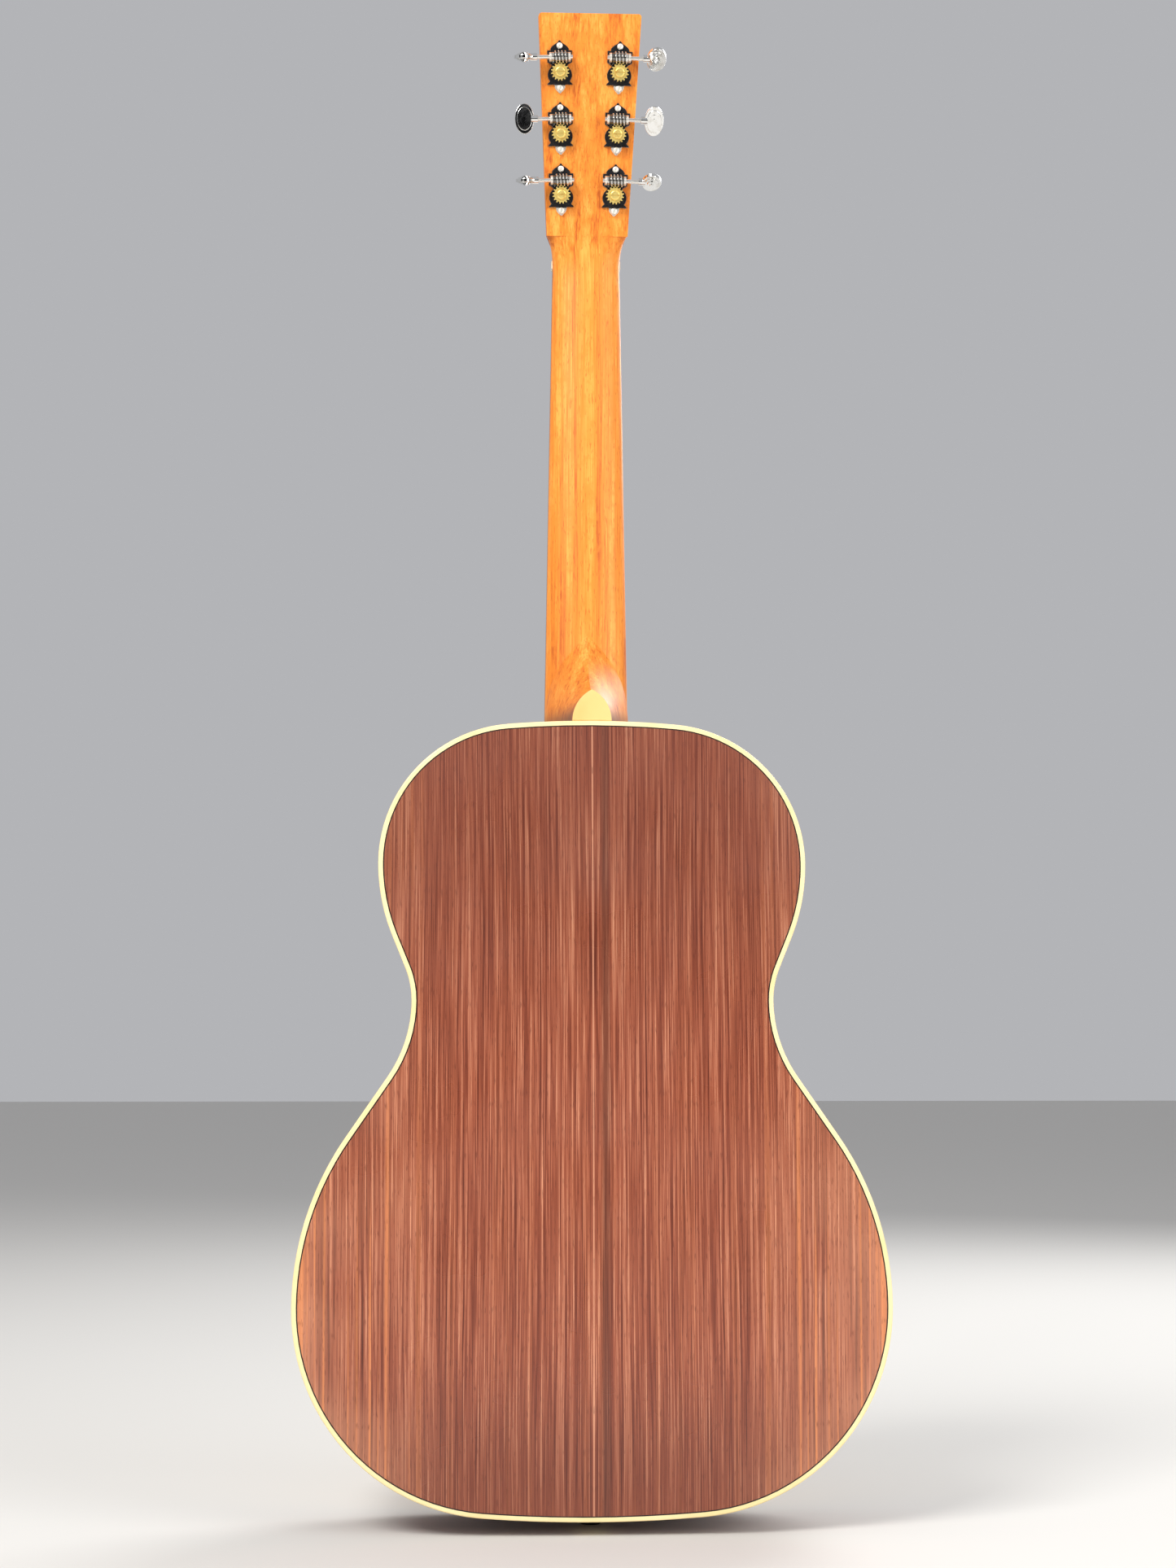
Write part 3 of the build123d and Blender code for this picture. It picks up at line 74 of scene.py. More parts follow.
# the tuners, measured from the post nearest the nut on the bass side
TUNER_PITCH = 40.6 * MM
PLATE_THICKNESS = 1.7 * MM
PLATE_FOOT = -17.0 * MM
FOOT_STARTS = -9.2 * MM
WORM_CORE_R = 3.2 * MM
WORM_HALF = 5.2 * MM
joints = {joint["name"]: joint for joint in frame["joints"]}
LOWEST_POST = Vector(joints["post_bass_low_turn"]["pos_m"])
OUT_OF_HEADSTOCK = Vector(joints["post_bass_low_turn"]["axis"])
UP_HEADSTOCK = Vector((0.0, -OUT_OF_HEADSTOCK.z, OUT_OF_HEADSTOCK.y))
WORM_FROM_POST = Vector(joints["worm_bass_low_turn"]["pos_m"]) - LOWEST_POST
POST_COLUMN = abs(joints["post_bass_middle_turn"]["pos_m"][0])

# ---------------------------------------------------------------- camera
camera_data = bpy.data.cameras.new("camera")
camera_data.sensor_width = 36.0
camera_data.lens = 65.39
camera_data.clip_start = 0.05
camera_data.clip_end = 60.0
camera = bpy.data.objects.new("camera", camera_data)
camera.location = (0.0945, 1.8683, 0.2974)
camera.rotation_euler = (radians(95.25), 0.0, radians(177.14))
bpy.context.scene.collection.objects.link(camera)
bpy.context.scene.camera = camera
bpy.context.scene.view_settings.view_transform = "Standard"


# ---------------------------------------------------------------- building materials from nodes
def paint(red, green, blue):
    """A colour as seen on a screen, 0 to 255, for a shader."""
    shares = []
    for level in (red, green, blue):
        share = level / 255
        shares.append(share / 12.92 if share <= 0.04045 else ((share + 0.055) / 1.055) ** 2.4)
    return (*shares, 1.0)


def node(tree, kind, inputs=None, **settings):
    """Adds a node; each input is a value or the output that feeds it."""
    made = tree.nodes.new(kind)
    for key, value in settings.items():
        setattr(made, key, value)
    for key, value in (inputs or {}).items():
        if isinstance(value, bpy.types.NodeSocket):
            tree.links.new(value, made.inputs[key])
        else:
            made.inputs[key].default_value = value
    return made


def finish_named(name):
    """A new material, its tree and its shader."""
    material = bpy.data.materials.new(name)
    material.use_nodes = True
    tree = material.node_tree
    return material, tree, tree.nodes["Principled BSDF"]


def ramp(tree, source, stops):
    """Colours along a value: stops are (place, colour)."""
    made = tree.nodes.new("ShaderNodeValToRGB")
    elements = made.color_ramp.elements
    while len(elements) < len(stops):
        elements.new(0.5)
    for element, (place, colour) in zip(elements, stops):
        element.position = place
        element.color = colour
    tree.links.new(source, made.inputs["Fac"])
    return made.outputs["Color"]


def reckon(tree, operation, first, second=0.0, third=0.0):
    """One sum on values."""
    made = node(tree, "ShaderNodeMath", {0: first, 1: second, 2: third}, operation=operation)
    return made.outputs["Value"]


def ease(tree, value, low, high, to_low=0.0, to_high=1.0):
    """A value's smooth step between two levels."""
    inputs = {"Value": value, "From Min": low, "From Max": high, "To Min": to_low, "To Max": to_high}
    made = node(tree, "ShaderNodeMapRange", inputs, interpolation_type="SMOOTHSTEP")
    return made.outputs["Result"]


# a mix node's colour sockets share their names with its others, so they are found by place
MIX_FIRST, MIX_SECOND, MIX_RESULT = 6, 7, 2


def blend_colours(tree, share, first, second):
    """Two colours mixed by a share."""
    inputs = {"Factor": share, MIX_FIRST: first, MIX_SECOND: second}
    return node(tree, "ShaderNodeMix", inputs, data_type="RGBA").outputs[MIX_RESULT]


def noise(tree, vector, scale, detail=2.0, rough=0.5):
    """Smooth random levels, about 0.3 to 0.7."""
    inputs = {"Vector": vector, "Scale": scale, "Detail": detail, "Roughness": rough}
    return node(tree, "ShaderNodeTexNoise", inputs).outputs["Fac"]


def place(tree):
    """Where a point is on the object."""
    return node(tree, "ShaderNodeTexCoord").outputs["Object"]


def apart(tree, vector):
    """A vector's X, Y and Z."""
    split = node(tree, "ShaderNodeSeparateXYZ", {"Vector": vector})
    return split.outputs["X"], split.outputs["Y"], split.outputs["Z"]


def joined(tree, x, y, z):
    """A vector from three values."""
    return node(tree, "ShaderNodeCombineXYZ", {"X": x, "Y": y, "Z": z}).outputs["Vector"]


def relief(tree, shader, height, distance, strength=1.0):
    """Roughens a surface by a height."""
    inputs = {"Height": height, "Distance": distance, "Strength": strength}
    bump = node(tree, "ShaderNodeBump", inputs)
    tree.links.new(bump.outputs["Normal"], shader.inputs["Normal"])


WANDER_SCALE = 3.0


def grain_vector(tree, across, depth, along, stretch, wander):
    """Coordinates pulled out along the grain, which wanders a little sideways."""
    doubled = reckon(tree, "MULTIPLY", across, 2.0)
    drift = noise(tree, joined(tree, doubled, depth, along), WANDER_SCALE, 1.0)
    across = reckon(tree, "MULTIPLY_ADD", drift, wander, across)
    return joined(tree, across, depth, reckon(tree, "DIVIDE", along, stretch))


# ---------------------------------------------------------------- the woods
ROSEWOOD_DARK = paint(84, 34, 22)
ROSEWOOD_BROWN = paint(128, 62, 42)
ROSEWOOD_RED = paint(160, 88, 62)
ROSEWOOD_TAN = paint(222, 156, 122)


def back_tones_and_painted_light(tree, colour, coordinates, grain):
    """The back's tones: painted shade towards neck and tail, a painted sheen at the lower bout's edges, its seam.
    """
    x, y, z = apart(tree, coordinates)
    half = reckon(tree, "ABSOLUTE", x)
    # painted shade: the back darkened towards the neck and towards the tail
    shade_towards_neck = ease(tree, z, 0.50 * BODY_TOP_Z, 0.90 * BODY_TOP_Z, 0.0, 0.42)
    shade_towards_tail = ease(tree, z, 0.04 * BODY_TOP_Z, 0.22 * BODY_TOP_Z, 0.34, 0.0)
    painted_shade = reckon(tree, "MAXIMUM", shade_towards_neck, shade_towards_tail)
    colour = blend_colours(tree, painted_shade, colour, paint(78, 30, 14))
    # painted sheen: lighter patches at the lower bout's edges, low on the back
    painted_sheen = ease(tree, half, 0.40 * LOWER_BOUT_HALF, LOWER_BOUT_HALF, 0.0, 0.62)
    sheen_patches = ease(tree, noise(tree, coordinates, 9.0, 2.0), 0.25, 0.65)
    painted_sheen = reckon(tree, "MULTIPLY", painted_sheen, sheen_patches)
    low = ease(tree, z, 0.30 * BODY_TOP_Z, 0.62 * BODY_TOP_Z, 1.0, 0.35)
    colour = blend_colours(tree, reckon(tree, "MULTIPLY", painted_sheen, low), colour, paint(216, 152, 118))
    # orange streaks, mostly towards the edges
    sap = ease(tree, noise(tree, grain, 200.0, 1.0), 0.54, 0.64, 0.0, 0.6)
    outer = ease(tree, half, 0.5 * LOWER_BOUT_HALF, 0.75 * LOWER_BOUT_HALF, 0.1, 1.0)
    sap = reckon(tree, "MULTIPLY", sap, outer)
    colour = blend_colours(tree, reckon(tree, "MULTIPLY", sap, low), colour, paint(226, 140, 86))
    # a dark board edge on one side of the seam, and the seam's pale line
    from_band = reckon(tree, "ABSOLUTE", reckon(tree, "ADD", x, DARK_BAND_FROM_SEAM))
    beside = ease(tree, from_band, 1.0 * MM, 4.0 * MM, 0.5, 0.0)
    colour = blend_colours(tree, beside, colour, paint(82, 44, 32))
    seam = ease(tree, half, SEAM_HALF, SEAM_HALF + 0.5 * MM, 0.6, 0.0)
    return blend_colours(tree, seam, colour, ROSEWOOD_TAN)


def rosewood(name, cut="plate", gloss=0.3):
    """Brown-red rosewood under satin lacquer; cut says how a piece lies in the board."""
    material, tree, shader = finish_named(name)
    coordinates = place(tree)
    x, y, z = apart(tree, coordinates)
    across = {"plate": reckon(tree, "ABSOLUTE", x), "side": y, "veneer": x}[cut]
    along = reckon(tree, "ADD", z, x) if cut == "side" else z
    grain = grain_vector(tree, across, 0.0, along, 120.0, 0.006)
    wide = noise(tree, grain, 70.0, 2.0)
    streak = noise(tree, grain, 520.0, 3.0, 0.75)
    fine = noise(tree, grain, 1500.0, 2.0, 0.6)
    level = reckon(tree, "MULTIPLY_ADD", streak, 0.50, reckon(tree, "MULTIPLY", wide, 0.10))
    level = reckon(tree, "MULTIPLY_ADD", fine, 0.40, level)
    colour = ramp(tree, level, (
        (0.37, ROSEWOOD_DARK), (0.46, ROSEWOOD_BROWN), (0.53, ROSEWOOD_RED), (0.66, ROSEWOOD_TAN)))
    if cut == "plate":
        colour = back_tones_and_painted_light(tree, colour, coordinates, grain)
    else:
        colour = blend_colours(tree, 0.45, colour, ROSEWOOD_DARK)
    pore_grain = joined(tree, across, 0.0, reckon(tree, "DIVIDE", along, 12.0))
    pores = ease(tree, noise(tree, pore_grain, 1500.0, 1.0), 0.60, 0.70, 0.0, 0.45)
    colour = blend_colours(tree, pores, colour, ROSEWOOD_DARK)
    tree.links.new(colour, shader.inputs["Base Color"])
    rough = ease(tree, noise(tree, coordinates, 14.0, 3.0), 0.3, 0.7, gloss - 0.04, gloss + 0.07)
    tree.links.new(rough, shader.inputs["Roughness"])
    shader.inputs["Coat Weight"].default_value = 0.25
    shader.inputs["Coat Roughness"].default_value = 0.22
    relief(tree, shader, reckon(tree, "SUBTRACT", fine, pores), 0.00006, 0.35)
    return material


def spruce(name, lacquered=True):
    """Pale spruce with close straight lines, ageing to honey."""
    material, tree, shader = finish_named(name)
    x, y, z = apart(tree, place(tree))
    half = reckon(tree, "ABSOLUTE", x)
    grain = grain_vector(tree, half, 0.0, z, 90.0, 0.003)
    rings = noise(tree, grain, 520.0, 2.0, 0.4)
    wide = noise(tree, grain, 45.0, 1.0)
    level = reckon(tree, "MULTIPLY_ADD", rings, 0.7, reckon(tree, "MULTIPLY", wide, 0.3))
    pale, honey = paint(228, 186, 126), paint(190, 138, 80)
    colour = ramp(tree, level, ((0.40, honey), (0.52, paint(216, 168, 106)), (0.64, pale)))
    silk = noise(tree, joined(tree, x, y, reckon(tree, "MULTIPLY", z, 9.0)), 26.0, 2.0)
    colour = blend_colours(tree, ease(tree, silk, 0.5, 0.72, 0.0, 0.12), colour, paint(244, 208, 152))
    tree.links.new(colour, shader.inputs["Base Color"])
    shader.inputs["Roughness"].default_value = 0.3 if lacquered else 0.7
    shader.inputs["Coat Weight"].default_value = 0.5 if lacquered else 0.0
    shader.inputs["Coat Roughness"].default_value = 0.12
    relief(tree, shader, rings, 0.00004, 0.3)
    return material


def mahogany(name, light, middle, dark, gloss, coat):
    """Straight mahogany with short pores, from honey-orange lacquered to bare brown.

    A lacquered neck is flecked across the grain, and has painted shade, browner, beside the heel just above the
    body.
    """
    material, tree, shader = finish_named(name)
    coordinates = place(tree)
    x, y, z = apart(tree, coordinates)
    grain = grain_vector(tree, x, reckon(tree, "MULTIPLY", y, 0.6), z, 45.0, 0.004)
    bands = noise(tree, grain, 150.0, 3.0, 0.55)
    fine = noise(tree, grain, 900.0, 2.0, 0.5)
    level = reckon(tree, "MULTIPLY_ADD", bands, 0.6, reckon(tree, "MULTIPLY", fine, 0.4))
    colour = ramp(tree, level, ((0.36, dark), (0.48, middle), (0.62, light)))
    mottle = noise(tree, joined(tree, x, y, reckon(tree, "DIVIDE", z, 1.6)), 210.0, 3.0)
    colour = blend_colours(tree, ease(tree, mottle, 0.47, 0.66, 0.0, 0.6), colour, middle)
    if coat:
        stain = ease(tree, noise(tree, coordinates, 26.0, 2.0), 0.42, 0.62, 0.0, 0.4)
        colour = blend_colours(tree, stain, colour, middle)
        # painted shade: the neck browner beside the heel, just above the body
        painted_shade_above_body = ease(tree, z, BODY_TOP_Z + 1.0 * MM, BODY_TOP_Z + 17.0 * MM, 0.85, 0.0)
        colour = blend_colours(tree, painted_shade_above_body, colour, paint(120, 84, 58))
    pore_grain = joined(tree, x, y, reckon(tree, "DIVIDE", z, 7.0))
    pores = ease(tree, noise(tree, pore_grain, 1300.0, 1.0), 0.60, 0.72, 0.0, 0.55)
    colour = blend_colours(tree, pores, colour, dark)
    tree.links.new(colour, shader.inputs["Base Color"])
    shader.inputs["Roughness"].default_value = gloss
    shader.inputs["Specular IOR Level"].default_value = 0.3
    shader.inputs["Coat Weight"].default_value = coat
    shader.inputs["Coat Roughness"].default_value = 0.3
    relief(tree, shader, reckon(tree, "SUBTRACT", fine, pores), 0.00005, 0.3)
    return material


def ebony(name, along_x=False, gloss=0.42):
    """Near-black ebony with faint brown lines."""
    material, tree, shader = finish_named(name)
    x, y, z = apart(tree, place(tree))
    across, along = (z, x) if along_x else (x, z)
    grain = grain_vector(tree, across, y, along, 40.0, 0.003)
    lines = noise(tree, grain, 420.0, 3.0, 0.6)
    black, brown_black, brown = paint(20, 17, 16), paint(34, 28, 26), paint(66, 50, 42)
    colour = ramp(tree, lines, ((0.4, black), (0.56, brown_black), (0.7, brown)))
    tree.links.new(colour, shader.inputs["Base Color"])
    rough = ease(tree, lines, 0.3, 0.7, gloss - 0.08, gloss + 0.08)
    tree.links.new(rough, shader.inputs["Roughness"])
    relief(tree, shader, lines, 0.00004, 0.35)
    return material


def maple(name):
    """Pale bare maple with small flecks."""
    material, tree, shader = finish_named(name)
    x, y, z = apart(tree, place(tree))
    grain = grain_vector(tree, z, y, x, 20.0, 0.003)
    fleck = noise(tree, grain, 300.0, 3.0)
    colour = ramp(tree, fleck, ((0.4, paint(196, 156, 108)), (0.65, paint(226, 192, 146))))
    tree.links.new(colour, shader.inputs["Base Color"])
    shader.inputs["Roughness"].default_value = 0.6
    return material


def rosette_rings(name):
    """Thin black and white rings round a band of dark and pale blocks."""
    material, tree, shader = finish_named(name)
    x, y, z = apart(tree, place(tree))
    rise = reckon(tree, "SUBTRACT", z, HOLE_CENTRE[2])
    squares = reckon(tree, "MULTIPLY_ADD", x, x, reckon(tree, "MULTIPLY", rise, rise))
    radius = reckon(tree, "SQRT", squares)
    reach = {"Value": radius, "From Min": ROSETTE_INNER_R, "From Max": ROSETTE_OUTER_R}
    share = node(tree, "ShaderNodeMapRange", reach).outputs["Result"]
    edge = reckon(tree, "ABSOLUTE", reckon(tree, "MULTIPLY_ADD", share, 2.0, -1.0))
    angle = reckon(tree, "ARCTAN2", x, rise)
    slanted = reckon(tree, "MULTIPLY_ADD", edge, 1.2, reckon(tree, "MULTIPLY", angle, 120.0))
    blocks = reckon(tree, "GREATER_THAN", reckon(tree, "SINE", slanted), 0.1)
    black, cream, amber = paint(22, 16, 14), paint(226, 212, 178), paint(150, 92, 46)
    band = blend_colours(tree, blocks, black, cream)
    rings = node(tree, "ShaderNodeValToRGB", {"Fac": edge})
    rings.color_ramp.interpolation = "CONSTANT"
    elements = rings.color_ramp.elements
    stops = ((0.0, amber), (0.36, black), (0.46, cream), (0.56, black), (0.78, cream), (0.90, black))
    while len(elements) < len(stops):
        elements.new(0.5)
    for element, (spot, colour) in zip(elements, stops):
        element.position = spot
        element.color = colour
    inside = reckon(tree, "LESS_THAN", edge, 0.34)
    colour = blend_colours(tree, inside, rings.outputs["Color"], band)
    tree.links.new(colour, shader.inputs["Base Color"])
    shader.inputs["Roughness"].default_value = 0.25
    shader.inputs["Coat Weight"].default_value = 0.5
    return material


# ---------------------------------------------------------------- trims, bone and pearl
def cream_trim(name, colour, shade, gloss=0.3):
    """Cream binding, a little uneven where it was scraped."""
    material, tree, shader = finish_named(name)
    coordinates = place(tree)
    uneven = noise(tree, coordinates, 30.0, 3.0)
    mixed = blend_colours(tree, ease(tree, uneven, 0.35, 0.75), colour, shade)
    tree.links.new(mixed, shader.inputs["Base Color"])
    rough = ease(tree, noise(tree, coordinates, 220.0, 2.0), 0.3, 0.7, gloss, gloss + 0.12)
    tree.links.new(rough, shader.inputs["Roughness"])
    shader.inputs["Subsurface Weight"].default_value = 0.08
    shader.inputs["Subsurface Radius"].default_value = (0.002, 0.0015, 0.001)
    return material


def dark_line(name):
    """Thin black purfling with the grain of dyed wood."""
    material, tree, shader = finish_named(name)
    fleck = noise(tree, place(tree), 900.0, 2.0)
    colour = ramp(tree, fleck, ((0.4, paint(20, 13, 12)), (0.7, paint(48, 30, 24))))
    tree.links.new(colour, shader.inputs["Base Color"])
    shader.inputs["Roughness"].default_value = 0.35
    return material


def pearl(name):
    """Mother of pearl: soft clouds of pink, green and silver."""
    material, tree, shader = finish_named(name)
    cloud = noise(tree, place(tree), 330.0, 3.0, 0.6)
    pink, silver, green = paint(206, 196, 214), paint(234, 232, 222), paint(196, 216, 206)
    colour = ramp(tree, cloud, ((0.35, pink), (0.5, silver), (0.65, green)))
    tree.links.new(colour, shader.inputs["Base Color"])
    shader.inputs["Roughness"].default_value = 0.16
    shader.inputs["Coat Weight"].default_value = 0.6
    return material


# ---------------------------------------------------------------- metals
def metal(name, colour, worn, gloss, smear=0.1, metallic=1.0):
    """Polished or drawn metal with faint smears and scratches; lacquered if not wholly metallic."""
    material, tree, shader = finish_named(name)
    coordinates = place(tree)
    smears = noise(tree, coordinates, 260.0, 4.0, 0.6)
    mixed = blend_colours(tree, ease(tree, smears, 0.45, 0.75, 0.0, 0.8), colour, worn)
    tree.links.new(mixed, shader.inputs["Base Color"])
    shader.inputs["Metallic"].default_value = metallic
    tree.links.new(ease(tree, smears, 0.3, 0.7, gloss, gloss + smear), shader.inputs["Roughness"])
    scratches = noise(tree, coordinates, 3000.0, 1.0)
    relief(tree, shader, scratches, 0.00001, 0.15)
    return material


def beside_post(tree, coordinates):
    """A point's rise from the headstock's back, and its place up the headstock from its post."""
    from_post = node(tree, "ShaderNodeVectorMath", {
        0: coordinates, 1: tuple(LOWEST_POST)}, operation="SUBTRACT").outputs["Vector"]
    rise, along = (
        node(tree, "ShaderNodeVectorMath", {
            0: from_post, 1: tuple(way)}, operation="DOT_PRODUCT").outputs["Value"]
        for way in (OUT_OF_HEADSTOCK, UP_HEADSTOCK))
    return rise, reckon(tree, "WRAP", along, TUNER_PITCH + PLATE_FOOT, PLATE_FOOT)


def tuner_plate_metal(name):
    """Nickel plates, mirror-flat on the headstock with a painted dark reflection there, and a painted highlight on
    their tabs and rounded feet.
    """
    material, tree, shader = finish_named(name)
    coordinates = place(tree)
    rise, along = beside_post(tree, coordinates)
    raised = ease(tree, rise, PLATE_THICKNESS, PLATE_THICKNESS + 0.5 * MM)
    foot = ease(tree, along, FOOT_STARTS, FOOT_STARTS + 1.0 * MM, 1.0, 0.0)
    painted_highlight = reckon(tree, "MAXIMUM", raised, foot)
    # painted reflection: dark on the plates' flat faces; painted highlight on their tabs and feet
    colour = blend_colours(tree, painted_highlight, paint(96, 96, 100), paint(240, 236, 226))
    tree.links.new(colour, shader.inputs["Base Color"])
    shader.inputs["Metallic"].default_value = 0.85
    smears = noise(tree, coordinates, 260.0, 4.0, 0.6)
    rough = reckon(tree, "MULTIPLY_ADD", painted_highlight, 0.26, ease(tree, smears, 0.3, 0.7, 0.07, 0.15))
    tree.links.new(rough, shader.inputs["Roughness"])
    return material


def worm_metal(name):
    """Nickel worm shafts, darker in the roots of the thread."""
    material, tree, shader = finish_named(name)
    coordinates = place(tree)
    x, y, z = apart(tree, coordinates)
    rise, along = beside_post(tree, coordinates)
    up = reckon(tree, "SUBTRACT", along, WORM_FROM_POST.dot(UP_HEADSTOCK))
    back = reckon(tree, "SUBTRACT", rise, WORM_FROM_POST.dot(OUT_OF_HEADSTOCK))
    squares = reckon(tree, "MULTIPLY_ADD", up, up, reckon(tree, "MULTIPLY", back, back))
    radius = reckon(tree, "SQRT", squares)
    root = ease(tree, radius, WORM_CORE_R + 0.15 * MM, WORM_CORE_R + 0.65 * MM, 0.8, 0.0)
    from_column = reckon(tree, "SUBTRACT", reckon(tree, "ABSOLUTE", x), POST_COLUMN)
    sideways = reckon(tree, "ABSOLUTE", from_column)
    worm = ease(tree, sideways, WORM_HALF, WORM_HALF + 0.6 * MM, 1.0, 0.0)
    darker_in_roots = reckon(tree, "MULTIPLY", root, worm)
    # darker in the roots of the worm's thread
    colour = blend_colours(tree, darker_in_roots, paint(238, 236, 230), paint(56, 50, 44))
    tree.links.new(colour, shader.inputs["Base Color"])
    shader.inputs["Metallic"].default_value = 0.9
    smears = noise(tree, coordinates, 260.0, 4.0, 0.6)
    tree.links.new(ease(tree, smears, 0.3, 0.7, 0.14, 0.24), shader.inputs["Roughness"])
    return material


def wound(name):
    """Bronze wire wound close round a steel core, with painted shade between its turns."""
    material, tree, shader = finish_named(name)
    x, y, z = apart(tree, place(tree))
    turns = reckon(tree, "SINE", reckon(tree, "MULTIPLY", z, tau / WINDING_PITCH))
    # painted shade: darker in the grooves between the turns, lighter on their crests
    colour = blend_colours(tree, ease(tree, turns, -1.0, 1.0), paint(120, 76, 40), paint(214, 160, 96))
    tree.links.new(colour, shader.inputs["Base Color"])
    shader.inputs["Metallic"].default_value = 1.0
    shader.inputs["Roughness"].default_value = 0.32
    relief(tree, shader, turns, 0.00005, 0.6)
    return material


materials = {
    "spruce_top": spruce("spruce_top"),
    "rosette_rings": rosette_rings("rosette_rings"),
    "rosewood": rosewood("rosewood"),
    "rosewood_sides": rosewood("rosewood_sides", cut="side"),
    "rosewood_veneer": rosewood("rosewood_veneer", cut="veneer", gloss=0.24),
    "cream_binding": cream_trim("cream_binding", paint(246, 226, 172), paint(238, 216, 156)),
    "heel_cap_cream": cream_trim("heel_cap_cream", paint(246, 204, 132), paint(238, 192, 118)),
    "black_line": dark_line("black_line"),
    "ebony": ebony("ebony"),
    "ebony_across": ebony("ebony_across", along_x=True),
    "ebony_pins": ebony("ebony_pins", gloss=0.25),
    "mahogany_neck": mahogany(
        "mahogany_neck", paint(248, 168, 74), paint(234, 136, 44), paint(188, 88, 26),
        gloss=0.5, coat=0.06),
    "mahogany_inner": mahogany(
        "mahogany_inner", paint(178, 116, 74), paint(152, 92, 56), paint(112, 64, 38),
        gloss=0.7, coat=0.0),
    "spruce_braces": spruce("spruce_braces", lacquered=False),
    "maple": maple("maple"),
    "bone": cream_trim("bone", paint(238, 230, 208), paint(226, 214, 184), 0.25),
    "pearl": pearl("pearl"),
    "nickel": metal("nickel", paint(214, 212, 208), paint(186, 180, 168), 0.08),
    "tuner_plates": tuner_plate_metal("tuner_plates"),
    "worms": worm_metal("worms"),
    "screw_heads": metal(
        "screw_heads", paint(250, 248, 240), paint(226, 220, 206), 0.42, metallic=0.6),
    "buttons": metal("buttons", paint(238, 238, 236), paint(206, 202, 192), 0.05, smear=0.05),
    "brass_gear": metal(
        "brass_gear", paint(255, 228, 136), paint(214, 164, 72), 0.3, metallic=0.7),
    "steel": metal("steel", paint(150, 150, 152), paint(110, 106, 100), 0.35),
    "fret_wire": metal("fret_wire", paint(204, 202, 194), paint(170, 164, 150), 0.14),
    "bronze_strings": wound("bronze_strings"),
    "steel_strings": metal("steel_strings", paint(196, 196, 196), paint(160, 158, 152), 0.2),
}
finish_of = {entry["node"]: entry["material_slot"] for entry in record["subparts"]}
finish_of.update({
    "side_bass": "rosewood_sides",
    "side_treble": "rosewood_sides",
    "heel_cap": "heel_cap_cream",
    "bridge": "ebony_across",
    "tuner_plates": "tuner_plates",
    "plate_screws": "screw_heads",
})
for name in nodes:
    if name.startswith("worm_shaft"):
        finish_of[name] = "worms"
    if name.startswith("tuner_button"):
        finish_of[name] = "buttons"
for name, piece in nodes.items():
    piece.data.materials.clear()
    piece.data.materials.append(materials[finish_of[name]])


# ---------------------------------------------------------------- small pieces made from node trees
def tree_for(label, sizes):
    """An empty node tree with named sizes, a finish and a way out."""
    tree = bpy.data.node_groups.new(label, "GeometryNodeTree")
    tree.interface.new_socket("Geometry", in_out="INPUT", socket_type="NodeSocketGeometry")
    for size in sizes:
        tree.interface.new_socket(size, in_out="INPUT", socket_type="NodeSocketFloat")
    tree.interface.new_socket("Finish", in_out="INPUT", socket_type="NodeSocketMaterial")
    tree.interface.new_socket("Geometry", in_out="OUTPUT", socket_type="NodeSocketGeometry")
    return tree, node(tree, "NodeGroupInput").outputs


def close_tree(tree, geometry, finish):
    """Makes the tree's result real, gives it its finish and sends it out."""
    real = node(tree, "GeometryNodeRealizeInstances", {"Geometry": geometry})
    coloured = node(tree, "GeometryNodeSetMaterial", {
        "Geometry": real.outputs["Geometry"], "Material": finish})
    node(tree, "NodeGroupOutput", {"Geometry": coloured.outputs["Geometry"]})


def made_plain(name, tree, values, lay, points=()):
    """Runs a tree once, keeps its result as a plain mesh and lays it in its place."""
    start = bpy.data.meshes.new(name + "_points")
    start.from_pydata([tuple(point) for point in points], [], [])
    holder = bpy.data.objects.new(name + "_holder", start)
    bpy.context.scene.collection.objects.link(holder)
    modifier = holder.modifiers.new("nodes", "NODES")
    modifier.node_group = tree
    for item in tree.interface.items_tree:
        if item.in_out == "INPUT" and item.name in values:
            modifier[item.identifier] = values[item.name]
    bpy.context.view_layer.update()
    graph = bpy.context.evaluated_depsgraph_get()
    mesh = bpy.data.meshes.new_from_object(holder.evaluated_get(graph), depsgraph=graph)
    bpy.data.objects.remove(holder)
    mesh.transform(lay)
    mesh.name = name
    piece = bpy.data.objects.new(name, mesh)
    bpy.context.scene.collection.objects.link(piece)
    return piece


